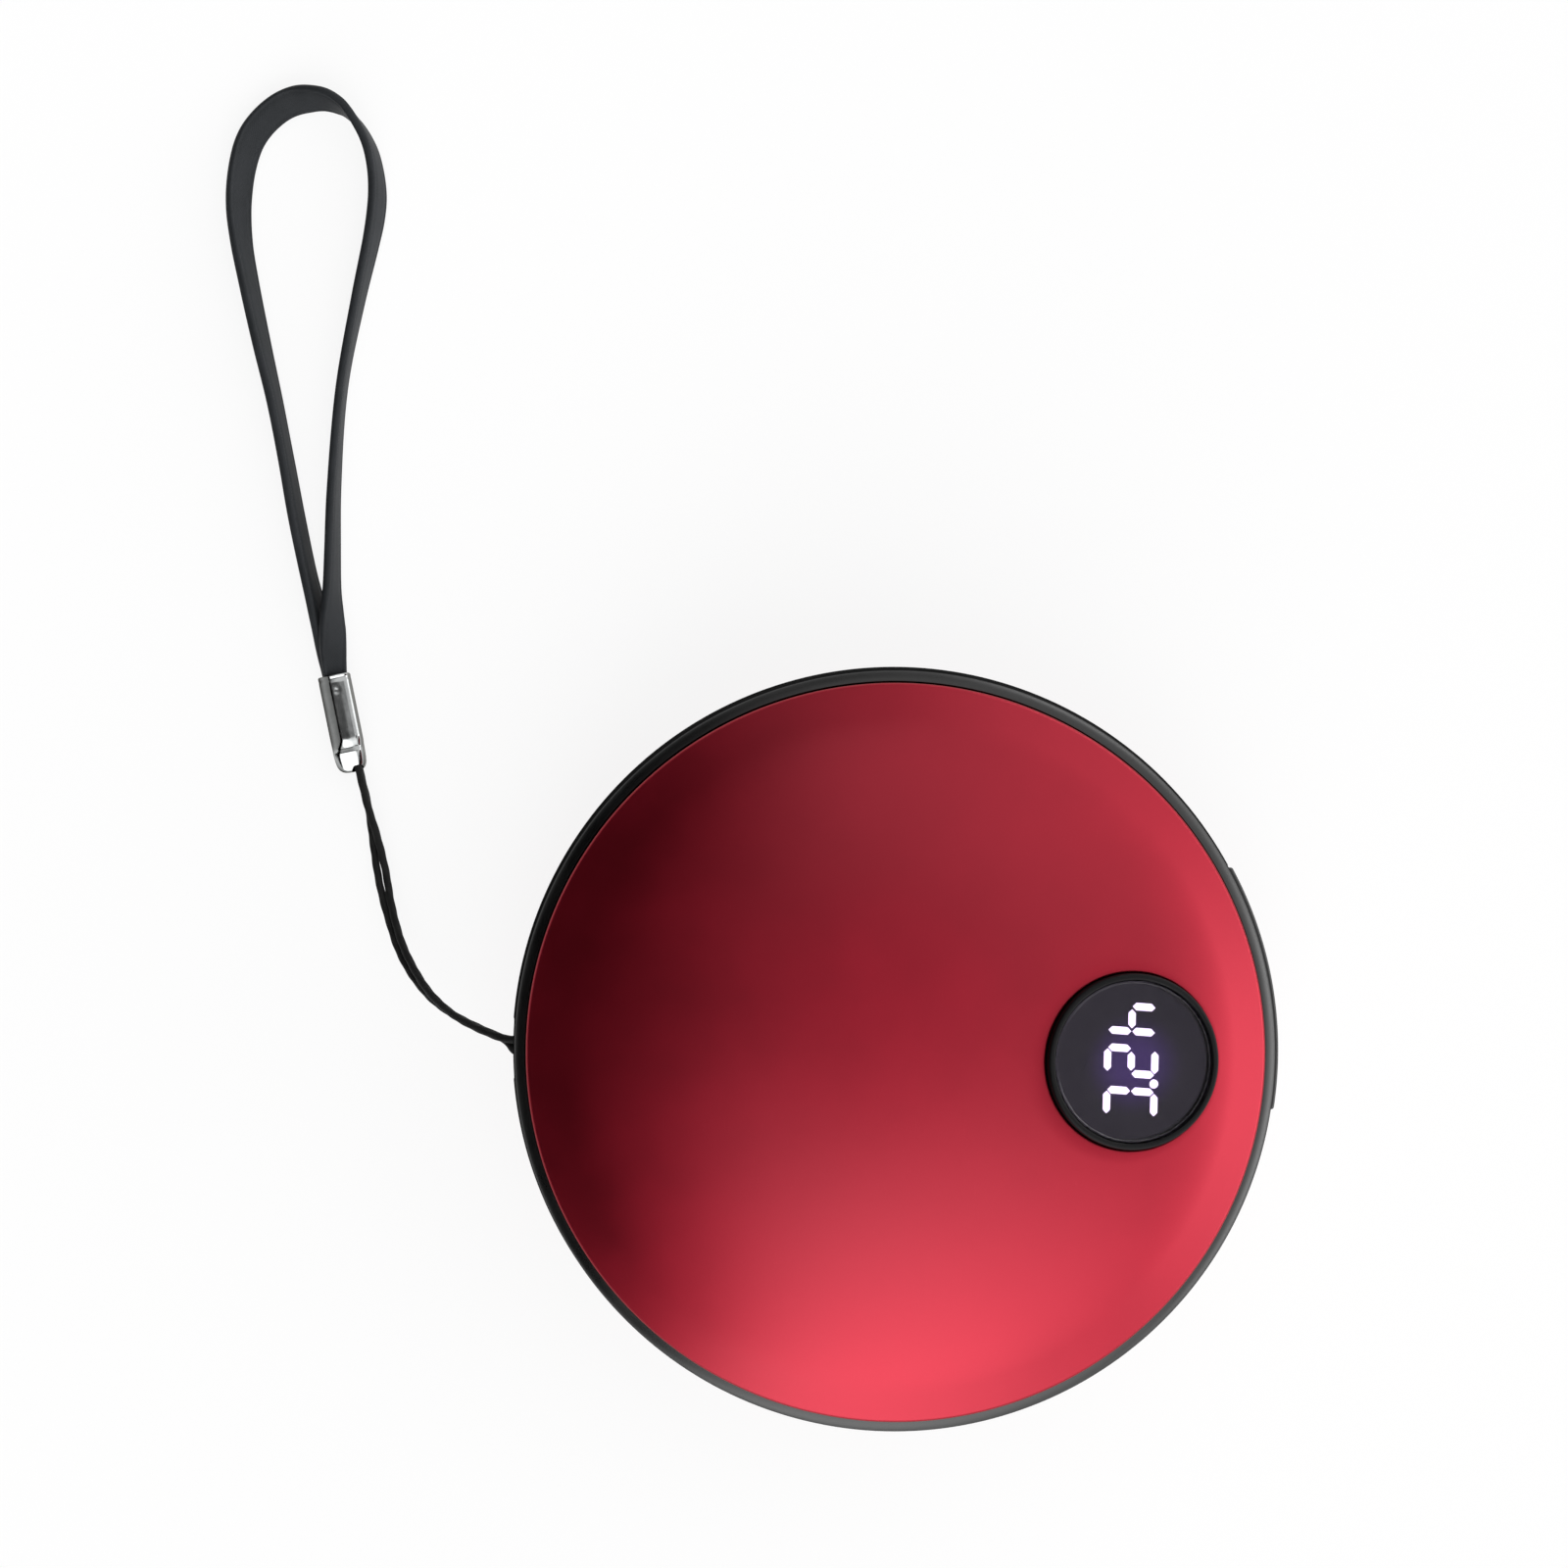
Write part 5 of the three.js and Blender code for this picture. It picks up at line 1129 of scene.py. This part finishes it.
line = cord_line()
frames = strap_frames()
clamp = dress(crimp(), "chrome", "lanyard_crimp", body="lanyard")
twine = dress(cord(line), "cord", "lanyard_cord", body="lanyard")
band = dress(strap(frames), "strap", "lanyard_strap", body="lanyard", sharp=60)


def pin():
    narrow, end = PIN_RADIUS - PIN_CHAMFER, PIN_HALF - PIN_CHAMFER
    half = [(PIN_RADIUS, end), (narrow, PIN_HALF), (0, PIN_HALF)]
    profile = [(r, -z) for r, z in half[::-1]] + half
    place = Matrix.Translation((PIN_X, 0, RIM_MIDDLE))
    return solid("hitch_pin", lathe(profile, sides=48), place)


dress(pin(), "steel", "lanyard_pin")


# Foam pad under the battery

def foam_pad():
    """A soft sheet whose edges are rounded and whose sides pull in a little between its corners."""
    low, high = (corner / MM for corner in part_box("battery_pad"))
    middle, size = (low + high) / 2, high - low
    stations = [(6, 0), (1.2, 0), (0.35, 0.033), (0.1, 0.2), (0, 0.5),
                (0.1, 0.8), (0.35, 0.95), (1.2, 0.983), (6, 1)]
    pull = 0.3
    loops = []
    for inset, share in stations:
        loop = []
        for x, y in rectangle(size.x - 2 * inset, size.y - 2 * inset, 2.0, 6):
            narrow_x = 1 - pull * cos(pi * y / size.y) / size.x
            narrow_y = 1 - pull * cos(pi * x / size.x) / size.y
            loop.append((middle.x + x * narrow_x, middle.y + y * narrow_y, low.z + share * size.z))
        loops.append(loop)
    return solid("foam_sheet", skin(loops, caps=True))


pad = dress(foam_pad(), "foam", "battery_pad")


# Pieces inside the body keep their CAD shapes

INNER = {
    "black_part": ["switch_body", "controller_chip", "front_thermistor", "rear_thermistor"],
    "grey_plastic": ["chassis", "switch_plunger"],
    "board": ["main_board", "display_board"],
    "steel": ["rim_screw_1", "rim_screw_2", "rim_screw_3", "rim_screw_4", "board_screw_1", "board_screw_2"],
    "white_plastic": ["front_heater_lead", "rear_heater_lead"],
    "ferrite": ["inductor"],
    "foil": ["battery_cell"],
    "film": ["front_heater", "rear_heater", "display_cable"],
    "red_insulation": ["battery_lead_positive"],
    "black_insulation": ["battery_lead_negative"],
}
for slot, names in INNER.items():
    for name in names:
        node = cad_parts[name]
        node.data.materials.clear()
        node.data.materials.append(FINISHES[slot])


# Studio

def floor():
    """A white floor, most of which glows to the eye, in reflections and through glass; the rest is matt."""
    reach, low = FLOOR_REACH, cad_box[0].z - FLOOR_DROP
    corners = [(-reach, -reach, low), (reach, -reach, low), (reach, reach, low), (-reach, reach, low)]
    made = solid("floor", ([], []))
    made.data.from_pydata(corners, [], [(0, 1, 2, 3)])
    paint, tree, _ = material("floor")
    tree.nodes.clear()
    path = add(tree, "LightPath")
    rays = [path.outputs[name] for name in ("Is Camera Ray", "Is Glossy Ray", "Is Transmission Ray")]
    share = maths(tree, "MULTIPLY", maths(tree, "MAXIMUM", *rays), FLOOR_WHITE)
    tint = mixed(tree, noise(tree, 400), (0.91, 0.91, 0.91, 1), (0.93, 0.93, 0.93, 1))
    matt = add(tree, "BsdfDiffuse", {"Color": tint})
    white = add(tree, "Emission", {"Color": (1, 1, 1, 1), "Strength": 1.0})
    blend = add(tree, "MixShader", {0: share, 1: matt.outputs[0], 2: white.outputs[0]})
    add(tree, "OutputMaterial", {"Surface": blend.outputs[0]})
    made.data.materials.append(paint)


def toward(tree, way, bearing, drop, full, none, most, least=0.0):
    """A soft patch of the room: most within the angle full of a direction, and least beyond the angle none.

    The direction has a bearing about Z and an angle down from straight up, in degrees.
    """
    bearing, drop = radians(bearing), radians(drop)
    middle = (sin(drop) * cos(bearing), sin(drop) * sin(bearing), cos(drop))
    facing = add(tree, "VectorMath", {0: way, 1: middle}, operation="DOT_PRODUCT")
    ends = {1: cos(radians(none)), 2: cos(radians(full)), 3: least, 4: most}
    limits = {"Value": facing.outputs["Value"], **ends}
    return add(tree, "MapRange", limits, interpolation_type="SMOOTHSTEP").outputs[0]


def sky():
    """A softly lit room, bright in front and low on the right and dark on the left.

    To the eye and through glass it is plain white.
    """
    world = bpy.data.worlds.new("studio")
    bpy.context.scene.world = world
    world.use_nodes = True
    tree = world.node_tree
    tree.nodes.clear()
    way = add(tree, "TexCoord").outputs["Generated"]
    lights = [toward(tree, way, *light) for light in ROOM_LIGHTS]
    shades = [toward(tree, way, *shade, 1.0) for shade in ROOM_SHADES]
    level = maths(tree, "MULTIPLY", maths(tree, "ADD", *lights, ROOM_LEVEL), *shades)
    path = add(tree, "LightPath")
    seen = maths(tree, "MAXIMUM", path.outputs["Is Camera Ray"], path.outputs["Is Transmission Ray"])
    room = add(tree, "Background", {"Color": (1, 1, 1, 1), "Strength": level})
    white = add(tree, "Background", {"Color": (1, 1, 1, 1), "Strength": 1.0})
    blend = add(tree, "MixShader", {0: seen, 1: room.outputs[0], 2: white.outputs[0]})
    add(tree, "OutputWorld", {"Surface": blend.outputs[0]})


floor()
sky()

camera = bpy.data.objects.new("camera", bpy.data.cameras.new("camera"))
bpy.context.scene.collection.objects.link(camera)
camera.location = CAMERA_PLACE
camera.data.sensor_width = CAMERA_SENSOR
camera.data.lens = CAMERA_LENS
camera.data.clip_start, camera.data.clip_end = 0.01, 10.0
bpy.context.scene.camera = camera
bpy.context.scene.view_settings.view_transform = "Standard"
